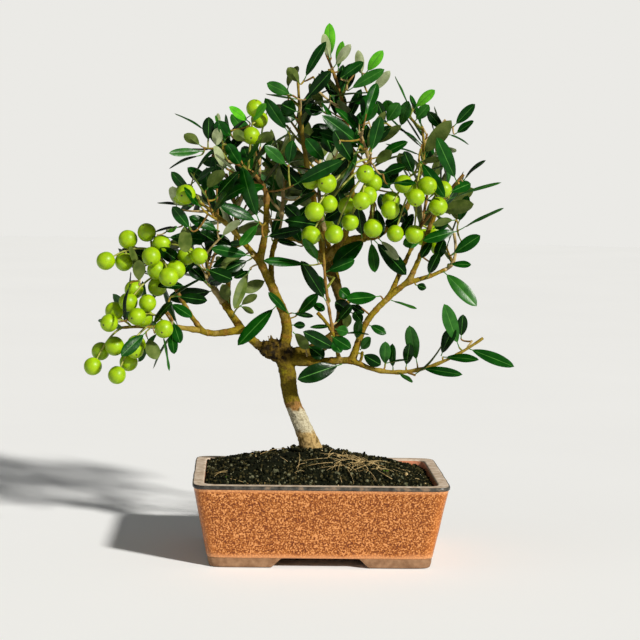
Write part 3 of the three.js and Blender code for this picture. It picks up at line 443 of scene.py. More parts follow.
def noise(points, seed):
    """Smooth noise from -1 to 1, with about one bump for each unit of length."""
    cells = np.floor(points).astype(np.int64)
    part = smooth_step(0, 1, points - cells)
    total = np.zeros(points.shape[:-1])
    for corner in np.ndindex(2, 2, 2):
        weight = np.prod(np.where(corner, part, 1 - part), axis=-1)
        total += weight * lattice(cells + np.array(corner), seed)
    return 2 * total - 1


def layers(points, rows):
    """Noise of several grains, added up."""
    return sum(share * noise(points / grain, seed) for grain, share, seed in rows)


def spots(points, grain, seed, start, full):
    """Where noise of a grain rises from start to full, from 0 to 1."""
    return smooth_step(start, full, noise(points / grain, seed))


def across(direction):
    """Two directions square to a line, the first one level where it can be."""
    pole = ACROSS if abs(direction[2]) > STEEP else UP
    side = unit(np.cross(pole, direction))
    return side, np.cross(direction, side)


def leaning(line, angle, turn):
    """A direction leaning away from a line by an angle, turned round it."""
    side, upward = across(line)
    return line * math.cos(angle) + math.sin(angle) * (side * math.cos(turn) + upward * math.sin(turn))


# Camera and picture

def camera_axes():
    """The camera's ways to the right, upward and ahead."""
    yaw, pitch, roll = (math.radians(angle) for angle in (CAMERA.yaw, CAMERA.pitch, CAMERA.roll))
    ahead = np.array([math.sin(yaw) * math.cos(pitch), math.cos(yaw) * math.cos(pitch), math.sin(pitch)])
    level = np.array([math.cos(yaw), -math.sin(yaw), 0])
    upright = np.cross(level, ahead)
    right = level * math.cos(roll) + upright * math.sin(roll)
    return right, upright * math.cos(roll) - level * math.sin(roll), ahead


def picture_point(place, depth):
    """The point of a depth that shows at a place in the picture."""
    right, upward, ahead = camera_axes()
    x, y = np.array(place) - CAMERA.frame / 2
    ray = ahead * CAMERA.focal + right * x - upward * y
    return np.array(CAMERA.place) + ray * (depth - CAMERA.place[1]) / ray[1]


# Curves

class Curve:
    """A curve given by its point at each share from 0 to 1."""

    def __init__(self, point):
        self.point = point
        chords = np.diff(self.points(np.linspace(0, 1, CHORDS + 1)), axis=0)
        self.length = norm(chords, axis=1).sum()

    def points(self, shares):
        return np.array([self.point(share) for share in shares])

    def tangent(self, share, step=1e-4):
        return unit(self.point(min(share + step, 1)) - self.point(max(share - step, 0)))

    def steps(self, step, least):
        """How often a step goes into the length, but at least so often."""
        return max(least, round(self.length / step))


def smooth_curve(points):
    """A curve through points, its slope at each one half the way from the one before to the one after."""
    points = np.array(points, float)
    ends = [2 * points[0] - points[1], 2 * points[-1] - points[-2]]
    knots = np.array([ends[0], *points, ends[1]])

    def point(share):
        index = min(int(share * (len(points) - 1)), len(points) - 2)
        part = share * (len(points) - 1) - index
        before, start, end, after = knots[index:index + 4]
        leave, arrive = (end - before) / 2, (after - start) / 2
        square = -3 * start + 3 * end - 2 * leave - arrive
        cube = 2 * start - 2 * end + leave + arrive
        return start + part * (leave + part * (square + part * cube))

    return Curve(point)


def bent_curve(start, bend, end):
    """A curve from start to end that leaves and arrives along the lines to bend."""
    return Curve(lambda share: mix(mix(start, bend, share), mix(bend, end, share), share))


def tapering(root, tip):
    return lambda share: mix(root, tip, share)


# Meshes

class Soup:
    """Points and faces of many shapes, gathered into one mesh."""

    def __init__(self):
        self.points, self.faces, self.slots, self.count = [], [], [], 0

    def add(self, points, faces, slots=0):
        self.points.append(points)
        self.faces.extend([[corner + self.count for corner in face] for face in faces])
        self.slots.extend([slots] * len(faces) if isinstance(slots, int) else slots)
        self.count += len(points)

    def mesh(self, name, sharp=None):
        mesh = bpy.data.meshes.new(name)
        places = np.concatenate(self.points) * MM + POT_MIDDLE
        mesh.from_pydata(places.tolist(), [], self.faces, shade_flat=False)
        mesh.polygons.foreach_set("material_index", np.array(self.slots, np.int32))
        if sharp is not None:
            mesh.set_sharp_from_angle(angle=sharp)
        return mesh


def ring_faces(index):
    """Faces between rings of point numbers, one ring to a row."""
    after = np.roll(index, -1, axis=1)
    return np.stack([index[:-1], index[1:], after[1:], after[:-1]], axis=-1).reshape(-1, 4).tolist()


def fan_faces(ring, tip, outward):
    """Triangles from a ring of point numbers to a tip, on either side of it."""
    after, tips = np.roll(ring, -1), np.full(len(ring), tip)
    return np.stack([ring, tips, after] if outward else [tips, ring, after], axis=1).tolist()


def loft(rings, start, end):
    """Points and faces of a closed skin through rings, drawn in to a point at each end.

    Rings run clockwise, seen from the end.
    """
    points = np.concatenate([[start], rings.reshape(-1, 3), [end]])
    index = 1 + np.arange(len(points) - 2).reshape(rings.shape[:2])
    last = fan_faces(index[-1], len(points) - 1, True)
    return points, [*fan_faces(index[0], 0, False), *ring_faces(index), *last]


def around(columns):
    """Angles of a ring's points, clockwise."""
    return -TURN * np.arange(columns) / columns


def tube_rings(curve, shares, radii, sides):
    centres = curve.points(shares)
    directions = np.array([curve.tangent(share) for share in shares])
    level = across(unit(centres[-1] - centres[0]))[0]
    upward = unit(np.cross(directions, level))
    sideways = np.cross(upward, directions)
    angles = around(sides)[None, :, None]
    spokes = np.cos(angles) * sideways[:, None] + np.sin(angles) * upward[:, None]
    return centres[:, None] + np.asarray(radii)[:, None, None] * spokes, centres


def add_tube(soup, curve, radius, sides, steps, slot=0):
    shares = np.linspace(0, 1, steps + 1)
    rings, centres = tube_rings(curve, shares, [radius(share) for share in shares], sides)
    soup.add(*loft(rings, centres[0], centres[-1]), slot)


def make_piece(mesh, materials, slot, *nodes):
    """An object that rides on the body and stands for CAD nodes; the finish slot it is given is not used."""
    piece = bpy.data.objects.new(mesh.name, mesh)
    bpy.context.collection.objects.link(piece)
    for material in materials:
        mesh.materials.append(material)
    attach(piece, "root")
    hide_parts(*nodes)
    return piece


def paint(mesh, colours, shares):
    """A colour for each point, read by the materials as tint, and how much of it shows."""
    tint = mesh.attributes.new("tint", "FLOAT_COLOR", "POINT")
    rgba = np.column_stack([colours, np.broadcast_to(shares, len(colours))])
    tint.data.foreach_set("color", rgba.astype(np.float32).ravel())


# Materials

def linear(colour):
    """A colour given as 0 to 255 on screen, in light."""
    share = np.asarray(colour, float) / 255
    return np.where(share < 0.04045, share / 12.92, ((share + 0.055) / 1.055) ** 2.4)


def patterned(name, stops, grain, roughness, bump=0.0, bump_grain=None, detail=3.0, tinted=None,
              **sockets):
    """A material whose colour runs through stops by noise of a grain in mm, with a bump in mm.

    Where it is tinted, the mesh's tint is blended in by the mode given.
    """
    made = bpy.data.materials.new(name)
    made.use_nodes = True
    nodes, links = made.node_tree.nodes, made.node_tree.links
    shader = nodes["Principled BSDF"]
    shader.inputs["Roughness"].default_value = roughness
    for socket, value in sockets.items():
        shader.inputs[socket.replace("_", " ")].default_value = value
    place = nodes.new("ShaderNodeTexCoord")
    speckle = nodes.new("ShaderNodeTexNoise")
    speckle.inputs["Scale"].default_value = 1 / (grain * MM)
    speckle.inputs["Detail"].default_value = detail
    links.new(place.outputs["Object"], speckle.inputs["Vector"])
    ramp = nodes.new("ShaderNodeValToRGB")
    while len(ramp.color_ramp.elements) < len(stops):
        ramp.color_ramp.elements.new(1.0)
    for element, (position, colour) in zip(ramp.color_ramp.elements, stops):
        element.position = position
        element.color = (*linear(colour), 1)
    links.new(speckle.outputs["Fac"], ramp.inputs["Fac"])
    colour = ramp.outputs["Color"]
    if tinted:
        tint = nodes.new("ShaderNodeAttribute")
        tint.attribute_name = "tint"
        blend = nodes.new("ShaderNodeMix")
        blend.data_type = "RGBA"
        blend.blend_type = tinted
        links.new(tint.outputs["Alpha"], blend.inputs["Factor"])
        links.new(colour, blend.inputs["A"])
        links.new(tint.outputs["Color"], blend.inputs["B"])
        colour = blend.outputs["Result"]
    links.new(colour, shader.inputs["Base Color"])
    if bump:
        rough = nodes.new("ShaderNodeTexNoise")
        rough.inputs["Scale"].default_value = 1 / ((bump_grain or grain) * MM)
        links.new(place.outputs["Object"], rough.inputs["Vector"])
        relief = nodes.new("ShaderNodeBump")
        relief.inputs["Distance"].default_value = bump * MM
        links.new(rough.outputs["Fac"], relief.inputs["Height"])
        links.new(relief.outputs["Normal"], shader.inputs["Normal"])
    return made


def two_tone(name, dark, light, start=0.3, full=0.7, **look):
    """A material that runs from a dark to a light colour."""
    return patterned(name, [(start, dark), (full, light)], **look)


def leaf_materials():
    """Upper faces in four tones, undersides in two, and the midrib, each with its roughness and gloss."""
    rows = [
        ("leaf_deep", (2, 48, 2), (15, 72, 8), 0.28, 0.14),
        ("leaf_mid", (16, 70, 8), (40, 100, 22), 0.32, 0.24),
        # The dark tone is partly painted shade: single leaves that sit in the crown's shade take it, and
        # sprays take it at random
        ("leaf_dark", (1, 26, 1), (8, 46, 4), 0.26, 0.14),
        ("leaf_young", (58, 148, 4), (96, 178, 34), 0.38, 0.2),
        ("leaf_under_olive", (60, 80, 22), (98, 112, 50), 0.55, 0.2),
        ("leaf_under_sage", (128, 142, 92), (168, 178, 138), 0.6, 0.2),
        ("leaf_rib", (44, 100, 24), (78, 130, 52), 0.4, 0.2),
    ]
    look = {"grain": 7, "bump": 0.1, "bump_grain": 1.6}
    return [
        two_tone(name, dark, light, roughness=roughness, Specular_IOR_Level=gloss, **look)
        for name, dark, light, roughness, gloss in rows
    ]


DEEP, MID, DARK_SHADED, YOUNG, UNDER_OLIVE, UNDER_SAGE, RIB = range(7)
LEAF_TONES = {
    "deep": (DEEP, UNDER_OLIVE), "mid": (MID, UNDER_OLIVE), "dark": (DARK_SHADED, UNDER_OLIVE),
    "young": (YOUNG, UNDER_SAGE), "sage": (MID, UNDER_SAGE), "olive": (DEEP, UNDER_OLIVE),
}


def twig_materials():
    rows = [
        ("twig_ochre", (112, 92, 20), (156, 134, 48)),
        ("twig_brown", (98, 72, 26), (146, 110, 48)),
        ("twig_beige", (142, 120, 72), (186, 166, 116)),
        ("twig_green", (98, 104, 26), (140, 142, 56)),
    ]
    look = {"grain": 3, "roughness": 0.62, "bump": 0.25, "bump_grain": 1.1, "Specular_IOR_Level": 0.2}
    return [two_tone(*row, **look) for row in rows]


STEM_TONES = 3
TWIG_TONES = 4


def fruit_materials():
    skin = [(0.25, (124, 159, 0)), (0.5, (140, 175, 1)), (0.75, (154, 187, 3))]
    waxy = {
        "Specular_IOR_Level": 0.3, "Subsurface_Weight": 0.1, "Subsurface_Scale": 0.003,
        "Coat_Weight": 0.06, "Coat_Roughness": 0.22,
    }
    return [
        patterned("olive_skin", skin, grain=6, roughness=0.42, bump=0.03, bump_grain=1.5, detail=1.5,
                  **waxy),
        two_tone("olive_dot", (38, 34, 12), (74, 68, 22), grain=0.8, roughness=0.6),
        two_tone("olive_calyx", (96, 98, 30), (146, 138, 54), grain=1.0, roughness=0.6, bump=0.2),
        two_tone("olive_stalk", (124, 132, 36), (170, 172, 78), grain=2.5, roughness=0.5, bump=0.15,
                 bump_grain=1.0),
    ]


SKIN, DOT, CALYX, STALK = range(4)


def bark_material():
    stops = [(0.25, (150, 140, 128)), (0.5, (226, 222, 214)), (0.75, (255, 255, 255))]
    return patterned("bark", stops, grain=1.5, roughness=0.78, bump=0.5, bump_grain=0.8, detail=6.0,
                     tinted="MULTIPLY", Specular_IOR_Level=0.15)


def pot_materials():
    glaze = [(0.38, (98, 42, 2)), (0.46, (136, 72, 14)), (0.54, (160, 95, 32)), (0.62, (210, 144, 86))]
    line = [(0.36, (40, 38, 34)), (0.52, (72, 70, 64)), (0.66, (122, 104, 86))]
    wet = {"bump_grain": 2.0, "Specular_IOR_Level": 0.3, "Coat_Weight": 0.15, "Coat_Roughness": 0.2}
    dry = {"grain": 5, "Specular_IOR_Level": 0.2}
    return [
        patterned("glaze", glaze, grain=1.3, roughness=0.34, bump=0.2, detail=2.0, tinted="MIX", **wet),
        two_tone("clay_rim", (168, 146, 122), (216, 200, 182), roughness=0.75, bump=0.12,
                 bump_grain=0.9, **dry),
        patterned("glaze_line", line, grain=7, roughness=0.25, bump=0.1, **wet),
        two_tone("glaze_inside", (170, 96, 62), (214, 146, 112), grain=4, roughness=0.3, bump=0.15, **wet),
        two_tone("clay_foot", (118, 86, 60), (152, 118, 88), roughness=0.78, bump=0.18,
                 bump_grain=1.0, **dry),
    ]


GLAZE, CLAY_RIM, GLAZE_LINE, GLAZE_INSIDE, CLAY_FOOT = range(5)


def soil_materials():
    rows = [
        ("soil_black", (5, 8, 1), (26, 28, 13), 0.95),
        ("soil_brown", (34, 32, 14), (70, 64, 36), 0.95),
        # Pale grey grains stand for the lit sides of grains: a painted highlight, scattered at random
        ("soil_grey", (72, 74, 52), (118, 116, 90), 0.95),
        ("soil_moss", (40, 62, 14), (92, 120, 34), 0.95),
        ("soil_fibre", (136, 112, 66), (206, 182, 132), 0.7),
    ]
    look = {"start": 0.35, "grain": 2.0, "bump": 0.5, "bump_grain": 0.8, "Specular_IOR_Level": 0.1}
    return [two_tone(name, dark, light, roughness=rough, **look) for name, dark, light, rough in rows]


SOIL_BLACK, SOIL_BROWN, SOIL_GREY_HIGHLIGHT, SOIL_MOSS, SOIL_FIBRE = range(5)


# Pot

def outline_points(angles, half_length):
    """Points on the pot's bowed rectangle whose long half axis is given."""
    half_width = half_length - (POT.rim_length - POT.rim_width) / 2
    cosine, sine = np.cos(angles), np.sin(angles)
    power = 2 / POT.bow
    return np.stack([
        half_length * np.sign(cosine) * np.abs(cosine) ** power,
        half_width * np.sign(sine) * np.abs(sine) ** power,
    ], axis=-1)


def even_angles(columns):
    """Angles whose points are evenly spaced round the rim, clockwise."""
    quarters = np.arange(5) * math.pi / 2
    steps = np.linspace(-1, 1, PACE.eased)
    eased = (1 + np.sign(steps) * np.abs(steps) ** (1 / PACE.ease)) / 2
    near = np.logspace(PACE.nearest, PACE.furthest, PACE.near)
    bunched = np.unique(np.concatenate([
        np.linspace(0, TURN, PACE.even),
        *[quarter + side * near for quarter in quarters for side in (-1, 1)],
        *[quarter + (math.pi / 2) * eased for quarter in quarters[:4]],
    ]).clip(0, TURN))
    points = outline_points(bunched, POT.rim_length / 2)
    run = np.concatenate([[0], np.cumsum(norm(np.diff(points, axis=0), axis=1))])
    return -np.interp(np.linspace(0, run[-1], columns, endpoint=False), run, bunched)


def wall_at(level):
    """Long half axis of the pot's outer wall at a level."""
    return POT.rim_length / 2 - POT.lip_step - POT.flare * (1 - level / POT.height)


def rounded(start, corner, end, radius, steps=5):
    """Points round a corner of a profile, from the line to it to the line after it."""
    corner, before, behind = np.array(corner, float), np.array(start, float), np.array(end, float)
    enter = corner + radius * unit(before - corner)
    leave = corner + radius * unit(behind - corner)
    shares = np.linspace(0, 1, steps)[:, None]
    return mix(mix(enter, corner, shares), mix(corner, leave, shares), shares)


def pot_profile():
    """Half axis, level and finish from the underside's middle over wall and lip to the inside's middle."""
    rim, top, low = POT.rim_length / 2, POT.height, POT.foot_height
    inner, neck = rim - POT.lip_width, POT.height - POT.lip_depth - POT.lip_step
    wall_low = [wall_at(low), low]
    wall_high = [wall_at(top - POT.lip_depth), neck]

    def wall_points(levels):
        return [[mix(wall_low[0], wall_high[0], (level - low) / (neck - low)), level] for level in levels]

    line_start = neck - POT.line_depth
    wall = wall_points(np.linspace(low + POT.wall_start, line_start, POT.wall_rows))
    line = wall_points(np.linspace(line_start, neck, POT.line_rows + 1)[1:])
    lip = np.array([[rim, top - POT.lip_depth], [rim, top], [inner, top]])
    inside = np.array([wall_at(POT.floor_level) - POT.wall, POT.floor_level])
    stretches = [
        (CLAY_FOOT, [[wall_low[0] * share, low] for share in POT.under_shares]),
        (GLAZE, rounded([0, low], wall_low, wall[0], POT.foot_round)),
        (GLAZE, wall),
        (GLAZE_LINE, line),
        (GLAZE_LINE, rounded(wall_high, lip[0], lip[1], POT.neck_round)),
        (GLAZE_LINE, [[rim, top - POT.lip_depth / 2]]),
        (GLAZE_LINE, rounded(lip[0], lip[1], lip[2], POT.lip_round)),
        (CLAY_RIM, [[mix(rim, inner, share), top] for share in POT.lip_shares]),
        (CLAY_RIM, rounded(lip[1], lip[2], inside, POT.inner_round)),
        (GLAZE_INSIDE, [mix(lip[2], inside, share) for share in POT.inside_shares]),
        (GLAZE_INSIDE, [inside]),
    ]
    profile = [point for _, points in stretches for point in points]
    finishes = [slot for slot, points in stretches for _ in points]
    return np.array(profile), finishes


def corner_share(edges):
    """How close points round the pot lie to its corners, from 0 to 1."""
    corner = np.abs(edges).max(axis=1, keepdims=True)
    return np.exp(-(norm(corner - np.abs(edges), axis=2) / COAT.corner_reach) ** 2)


def arch_level(points):
    """Level of the feet's underside: none under a foot, rising at a slant into the arches."""
    front = POT.front_arch - np.abs(points[..., 0])
    side = POT.side_arch - np.abs(points[..., 1])
    return np.clip(np.maximum(front, side), 0, POT.foot_height + POT.seam)


def add_feet(soup, angles):
    """The foot ring, cut by an arch on each side; where an arch is open it ends inside the body."""
    low_edge, top = POT.foot_edge, POT.foot_height + 2 * POT.seam
    outer_low, outer = wall_at(0), wall_at(POT.foot_height)
    inner, bevel = outer_low - POT.foot_width, POT.foot_bevel * low_edge
    rows = [
        (inner, 0, False), (outer_low - POT.foot_width / 2, 0, False), (outer_low - low_edge, 0, False),
        (outer_low - bevel, bevel, False), (outer_low, low_edge, False),
        (mix(outer_low, outer, 0.5), POT.foot_height / 2, False), (outer - POT.seam, POT.foot_height, False),
        (outer - POT.seam * 3, top, True), (inner, top, True),
    ]
    rings = []
    for half, level, closed in rows:
        edge = outline_points(angles, half)
        floor = arch_level(edge)
        heights = np.full(len(angles), float(level)) if closed else np.maximum(level, floor)
        rings.append(np.column_stack([edge, np.minimum(heights, top)]))
    index = np.arange(len(rows) * len(angles)).reshape(len(rows), len(angles))
    faces = ring_faces(np.concatenate([index, index[:1]]))
    soup.add(np.concatenate(rings), faces, CLAY_FOOT)


def glaze_tint(rings, edges):
    """The glaze's tint round the pot, and how much of it shows."""
    level = rings[..., 2]
    streak = mix(COAT.least, 1, 0.5 + 0.5 * noise(rings / COAT.streak, COAT.streak_seed))
    thin = COAT.corner_most * corner_share(edges) * streak
    band_end = POT.foot_height + COAT.band_height * streak
    band = COAT.band_most * (1 - smooth_step(POT.foot_height + COAT.band_start, band_end, level))
    neck = POT.height - POT.lip_depth - POT.lip_step - POT.line_depth
    brim = COAT.top_most * smooth_step(neck - COAT.top_band, neck - COAT.top_band / 2, level)
    pooled = np.maximum(band, brim)
    return mix(linear(COAT.thin), linear(COAT.pooled), pooled[..., None]), np.maximum(thin, pooled)


def make_pot():
    profile, finishes = pot_profile()
    angles = even_angles(POT.columns)
    edges = np.array([outline_points(angles, half) for half, _ in profile])
    levels = np.broadcast_to(profile[:, 1, None, None], (*edges.shape[:2], 1))
    rings = np.concatenate([edges, levels], axis=2)
    glazed = np.isin(finishes, [GLAZE, GLAZE_LINE])[:, None]
    outward = np.concatenate([unit(edges), np.zeros((*edges.shape[:2], 1))], axis=2)
    rings = rings + outward * (COAT.wobble * layers(rings, COAT.waves) * glazed)[..., None]
    soup = Soup()
    low, high = np.array([0, 0, POT.foot_height]), np.array([0, 0, POT.floor_level])
    bands = [*finishes, finishes[-1]]
    soup.add(*loft(rings, low, high), [band for band in bands for _ in range(POT.columns)])
    body = slice(1, soup.count - 1)
    add_feet(soup, angles)
    mesh = soup.mesh("pot_glazed", math.radians(POT.crease))
    tint, shown = glaze_tint(rings, edges)
    colours, shares = np.zeros((soup.count, 3)), np.zeros(soup.count)
    colours[body] = tint.reshape(-1, 3)
    shares[body] = shown.ravel()
    paint(mesh, colours, shares)
    make_piece(mesh, pot_materials(), "glaze", "pot")


# Soil

def trunk_foot():
    low, high = np.array(TRUNK.path[:2], float)
    return mix(low, high, (SOIL.ground_level - low[2]) / (high[2] - low[2]))


def left_to_right(left, right, angles):
    """A value that changes from the pot's left to its right."""
    return mix(left, right, (1 + np.cos(angles)) / 2)


def edge_level(angles):
    return left_to_right(SOIL.edge_left, SOIL.edge_right, angles)


def soil_floor():
    """Long half axis of the soil's floor."""
    return wall_at(POT.floor_level) - POT.wall - SOIL.gap


def soil_edge(angles):
    """Long half axis of the soil's upper edge."""
    inner_edge = POT.rim_length / 2 - POT.lip_width - POT.edge
    share = (edge_level(angles) - POT.floor_level) / (POT.height - POT.edge - POT.floor_level)
    return mix(soil_floor(), inner_edge - SOIL.gap, share)


def heap_level(plan, angles, shares):
    """Level of the heap at places in plan, from the wall at share 0 to the flat spot at share 1."""
    ease = left_to_right(SOIL.ease_left, SOIL.ease_right, angles)
    turn = TURN * plan / SOIL.lump_length
    x, y = turn[..., 0], turn[..., 1]
    lumps = np.sin(x + np.sin(y / 2)) * np.sin(y + np.cos(x / 2))
    level = mix(edge_level(angles), SOIL.ground_level, shares ** ease)
    return level + SOIL.lump * lumps * np.sin(math.pi * shares)


def heap_points(angles, shares):
    """Points on the heap under its grains."""
    foot = trunk_foot()
    edge = outline_points(angles, soil_edge(angles))
    pad = foot[:2] + SOIL.pad_radius * np.stack([np.cos(angles), np.sin(angles)], axis=-1)
    plan = mix(edge, pad, shares[..., None])
    points = np.concatenate([plan, heap_level(plan, angles, shares)[..., None]], axis=-1)
    settled = smooth_step(0, SOIL.settle, shares)
    points[..., 2] += settled * SOIL.crumb * layers(points, SOIL.crumbs) - SOIL.sunk
    return points


def add_heap(soup):
    angles = even_angles(SOIL.columns)
    shares = np.linspace(0, 1, SOIL.rings) ** SOIL.ring_ease
    heap = heap_points(np.tile(angles, (SOIL.rings, 1)), np.tile(shares[:, None], (1, SOIL.columns)))
    base = outline_points(angles, soil_floor())
    floor = np.column_stack([base, np.full(SOIL.columns, POT.floor_level + SOIL.gap)])
    middle = np.array([0, 0, POT.floor_level + SOIL.gap])
    soup.add(*loft(np.concatenate([[floor], heap]), middle, trunk_foot()), SOIL_BLACK)


def lump_shape():
    """Corners and faces of a regular solid of twenty triangles."""
    ratio = (1 + math.sqrt(5)) / 2
    corners = [(0, a, b * ratio) for a in (-1, 1) for b in (-1, 1)]
    corners = np.array([np.roll(corner, turn) for turn in range(3) for corner in corners], float)
    faces = []
    for i, j, k in combinations(range(len(corners)), 3):
        sides = corners[[i, j, k]] - corners[[j, k, i]]
        if np.allclose(norm(sides, axis=1), 2):
            turned = np.dot(np.cross(sides[0], sides[1]), corners[i]) < 0
            faces.append([i, k, j] if turned else [i, j, k])
    return unit(corners), faces


def collar_places(rng):
    """Places of the grains banked up against the trunk's foot."""
    angles = TURN * rng.random(SOIL.collar)
    reach = mix(*SOIL.collar_reach, rng.random(SOIL.collar))
    rise = mix(*SOIL.collar_rise, rng.random(SOIL.collar))
    return trunk_foot() + np.column_stack([reach * np.cos(angles), reach * np.sin(angles), rise])


def add_grains(soup, rng):
    corners, faces = lump_shape()
    kinds = [SOIL_BLACK, SOIL_BROWN, SOIL_GREY_HIGHLIGHT, SOIL_FIBRE]
    angles = even_angles(SOIL.spots)[rng.integers(0, SOIL.spots, SOIL.grains)]
    heaped = heap_points(angles, 1 - np.sqrt(rng.random(SOIL.grains)))
    for place in [*heaped, *collar_places(rng)]:
        size = mix(*SOIL.grain, rng.random() ** 2)
        stretch = mix(*SOIL.grain_stretch, rng.random(3))
        rough = 1 + SOIL.grain_rough * (rng.random((len(corners), 1)) - 0.5)
        turn = np.array(Matrix.Rotation(TURN * rng.random(), 3, Vector(unit(rng.random(3) - 0.5))))
        kind = int(rng.choice(kinds, p=SOIL.grain_mix))
        shape = (corners * rough * stretch * size) @ turn.T
        soup.add(shape + place + UP * size * SOIL.grain_lift, faces, kind)


def add_moss(soup, rng):
    """Small tufts of moss among the grains."""
    corners, faces = lump_shape()
    angles = TURN * rng.random(SOIL.moss_spots) + math.pi
    middles = heap_points(angles, mix(*SOIL.moss_reach, rng.random(SOIL.moss_spots)))
    for index in range(SOIL.moss):
        place = middles[index % len(middles)] + (rng.random(3) - 0.5) * SOIL.moss_spread
        size = mix(*SOIL.moss_size, rng.random())
        rough = mix(*SOIL.moss_rough, rng.random((len(corners), 1)))
        soup.add(corners * size * rough + place, faces, SOIL_MOSS)


def add_fibres(soup, rng):
    """Pale dry roots lying on the heap, most of them in a tuft in front on the right."""
    angles = even_angles(SOIL.spots)
    heap = heap_points(rng.choice(angles, len(angles)), 1 - np.sqrt(rng.random(len(angles))))
    tuft = heap[norm((heap[:, :2] - FIBRE.tuft) / FIBRE.tuft_reach, axis=1) < 1]
    for index in range(FIBRE.count):
        start = rng.choice(heap if index % FIBRE.loose == 0 else tuft)
        way = TURN * rng.random()
        reach = mix(*FIBRE.length, rng.random() ** FIBRE.length_ease)
        aim = start[:2] + reach * np.array([math.cos(way), math.sin(way)])
        nearest = np.argmin(norm(heap[:, :2] - aim, axis=1))
        end = heap[nearest] + UP * mix(*FIBRE.rise, rng.random() ** FIBRE.rise_ease)
        sway = FIBRE.sway * reach * (rng.random(3) - 0.5) * [1, 1, 0]
        bend = (start + end) / 2 + sway + UP * mix(*FIBRE.arch, rng.random() ** 2)
        radius = tapering(FIBRE.radius * mix(*FIBRE.thick, rng.random()), FIBRE.tip)
        curve = bent_curve(start + UP * FIBRE.lift, bend, end)
        add_tube(soup, curve, radius, sides=5, steps=9, slot=SOIL_FIBRE)


def make_soil():
    rng = np.random.default_rng(SOIL.seed)
    soup = Soup()
    add_heap(soup)
    add_grains(soup, rng)
    add_moss(soup, rng)
    add_fibres(soup, rng)
    make_piece(soup.mesh("soil_heap"), soil_materials(), "soil", "soil")


# Limbs

def trunk_radius(share):
    swell = TRUNK.flare * math.exp(-share / TRUNK.flare_reach)
    return mix(TRUNK.foot_radius, TRUNK.top_radius, share) - TRUNK.waist * math.sin(math.pi * share) + swell


def lay_limbs():
    """Each limb's curve and radius, every bough starting on its parent."""
    limbs = {"trunk": Sizes(curve=smooth_curve(TRUNK.path), radius=trunk_radius, used=1)}
    for name, parent, place, bends, tip, root_radius, tip_radius in BOUGHS:
        start = limbs[parent].curve.point(place)
        radius = tapering(root_radius, tip_radius)
        limbs[name] = Sizes(curve=smooth_curve([start, *bends, tip]), radius=radius, used=1)
    return limbs


def collared(limb, collar, reach):
    """The limb's radius, widened where it leaves its parent."""
    return lambda share: limb.radius(share) + collar * math.exp(-share * limb.curve.length / reach)


def knob_tilt():
    return np.array(Matrix.Rotation(TRUNK.knob_tilt, 3, "Y"))


def add_knob(soup):
    """The pruned knob at the fork with ragged splinters on its upper edge."""
    polar = np.linspace(0, math.pi, TRUNK.knob_rows + 2)[1:-1, None]
    turn = around(TRUNK.knob_columns)[None]
    ball = np.stack([
        np.sin(polar) * np.cos(turn), np.sin(polar) * np.sin(turn), -np.cos(polar) * np.ones_like(turn),
    ], axis=-1)
    tilt, size, centre = knob_tilt(), np.array(TRUNK.knob_size), np.array(TRUNK.knob)
    rings = (ball * size) @ tilt.T + centre
    ends = (np.array([[0, 0, -1], [0, 0, 1]]) * size) @ tilt.T + centre
    soup.add(*loft(rings, ends[0], ends[1]))
    roll = dice(BARK.seed)
    for _ in range(TRUNK.spikes):
        way = unit(np.array([2 * roll() - 1, 2 * roll() - 1, TRUNK.spike_up + roll()]))
        root = tilt @ (way * size * TRUNK.spike_root) + centre
        lean = unit(way + np.array([roll() - 0.5, roll() - 0.5, roll()]) * TRUNK.spike_lean)
        end = root + lean * mix(*TRUNK.spike, roll() ** 2)
        radius = tapering(mix(*TRUNK.spike_radius, roll()), TRUNK.spike_tip)
        add_tube(soup, bent_curve(root, (root + end) / 2, end), radius, sides=6, steps=3)


def stub_radius(radius):
    """A stub's radius, flared at its foot."""
    return lambda share: radius * (1 + LIMB.stub_flare * math.exp(-LIMB.stub_fall * share))


def limb_soup(limbs):
    """All limbs as tubes that run into each other."""
    soup = Soup()
    add_tube(soup, limbs["trunk"].curve, limbs["trunk"].radius, LIMB.trunk_sides, LIMB.trunk_steps)
    for name, limb in limbs.items():
        if name != "trunk":
            thick = limb.radius(0)
            radius = collared(limb, LIMB.collar * thick, LIMB.collar_reach * thick)
            add_tube(soup, limb.curve, radius, LIMB.sides, limb.curve.steps(LIMB.step, LIMB.least_steps))
    for bough, place, tip, radius in STUBS:
        start = limbs[bough].curve.point(place)
        end = np.array(tip, float)
        bend = start + limbs[bough].curve.tangent(place) * LIMB.stub_bend * norm(end - start)
        add_tube(soup, bent_curve(start, bend, end), stub_radius(radius), LIMB.stub_sides, LIMB.stub_steps)
    add_knob(soup)
    return soup


def fused(soup, name):
    """The soup's shapes as one skin of even grain."""
    rough = bpy.data.objects.new(name, soup.mesh(name))
    bpy.context.collection.objects.link(rough)
    remesh = rough.modifiers.new("fuse", "REMESH")
    remesh.mode = "VOXEL"
    remesh.voxel_size = BARK.voxel * MM
    graph = bpy.context.evaluated_depsgraph_get()
    mesh = bpy.data.meshes.new_from_object(rough.evaluated_get(graph))
    bpy.data.objects.remove(rough)
    return mesh


def read_points(collection, key):
    values = np.empty(len(collection) * 3, np.float32)
    collection.foreach_get(key, values)
    return values.reshape(-1, 3).astype(float)


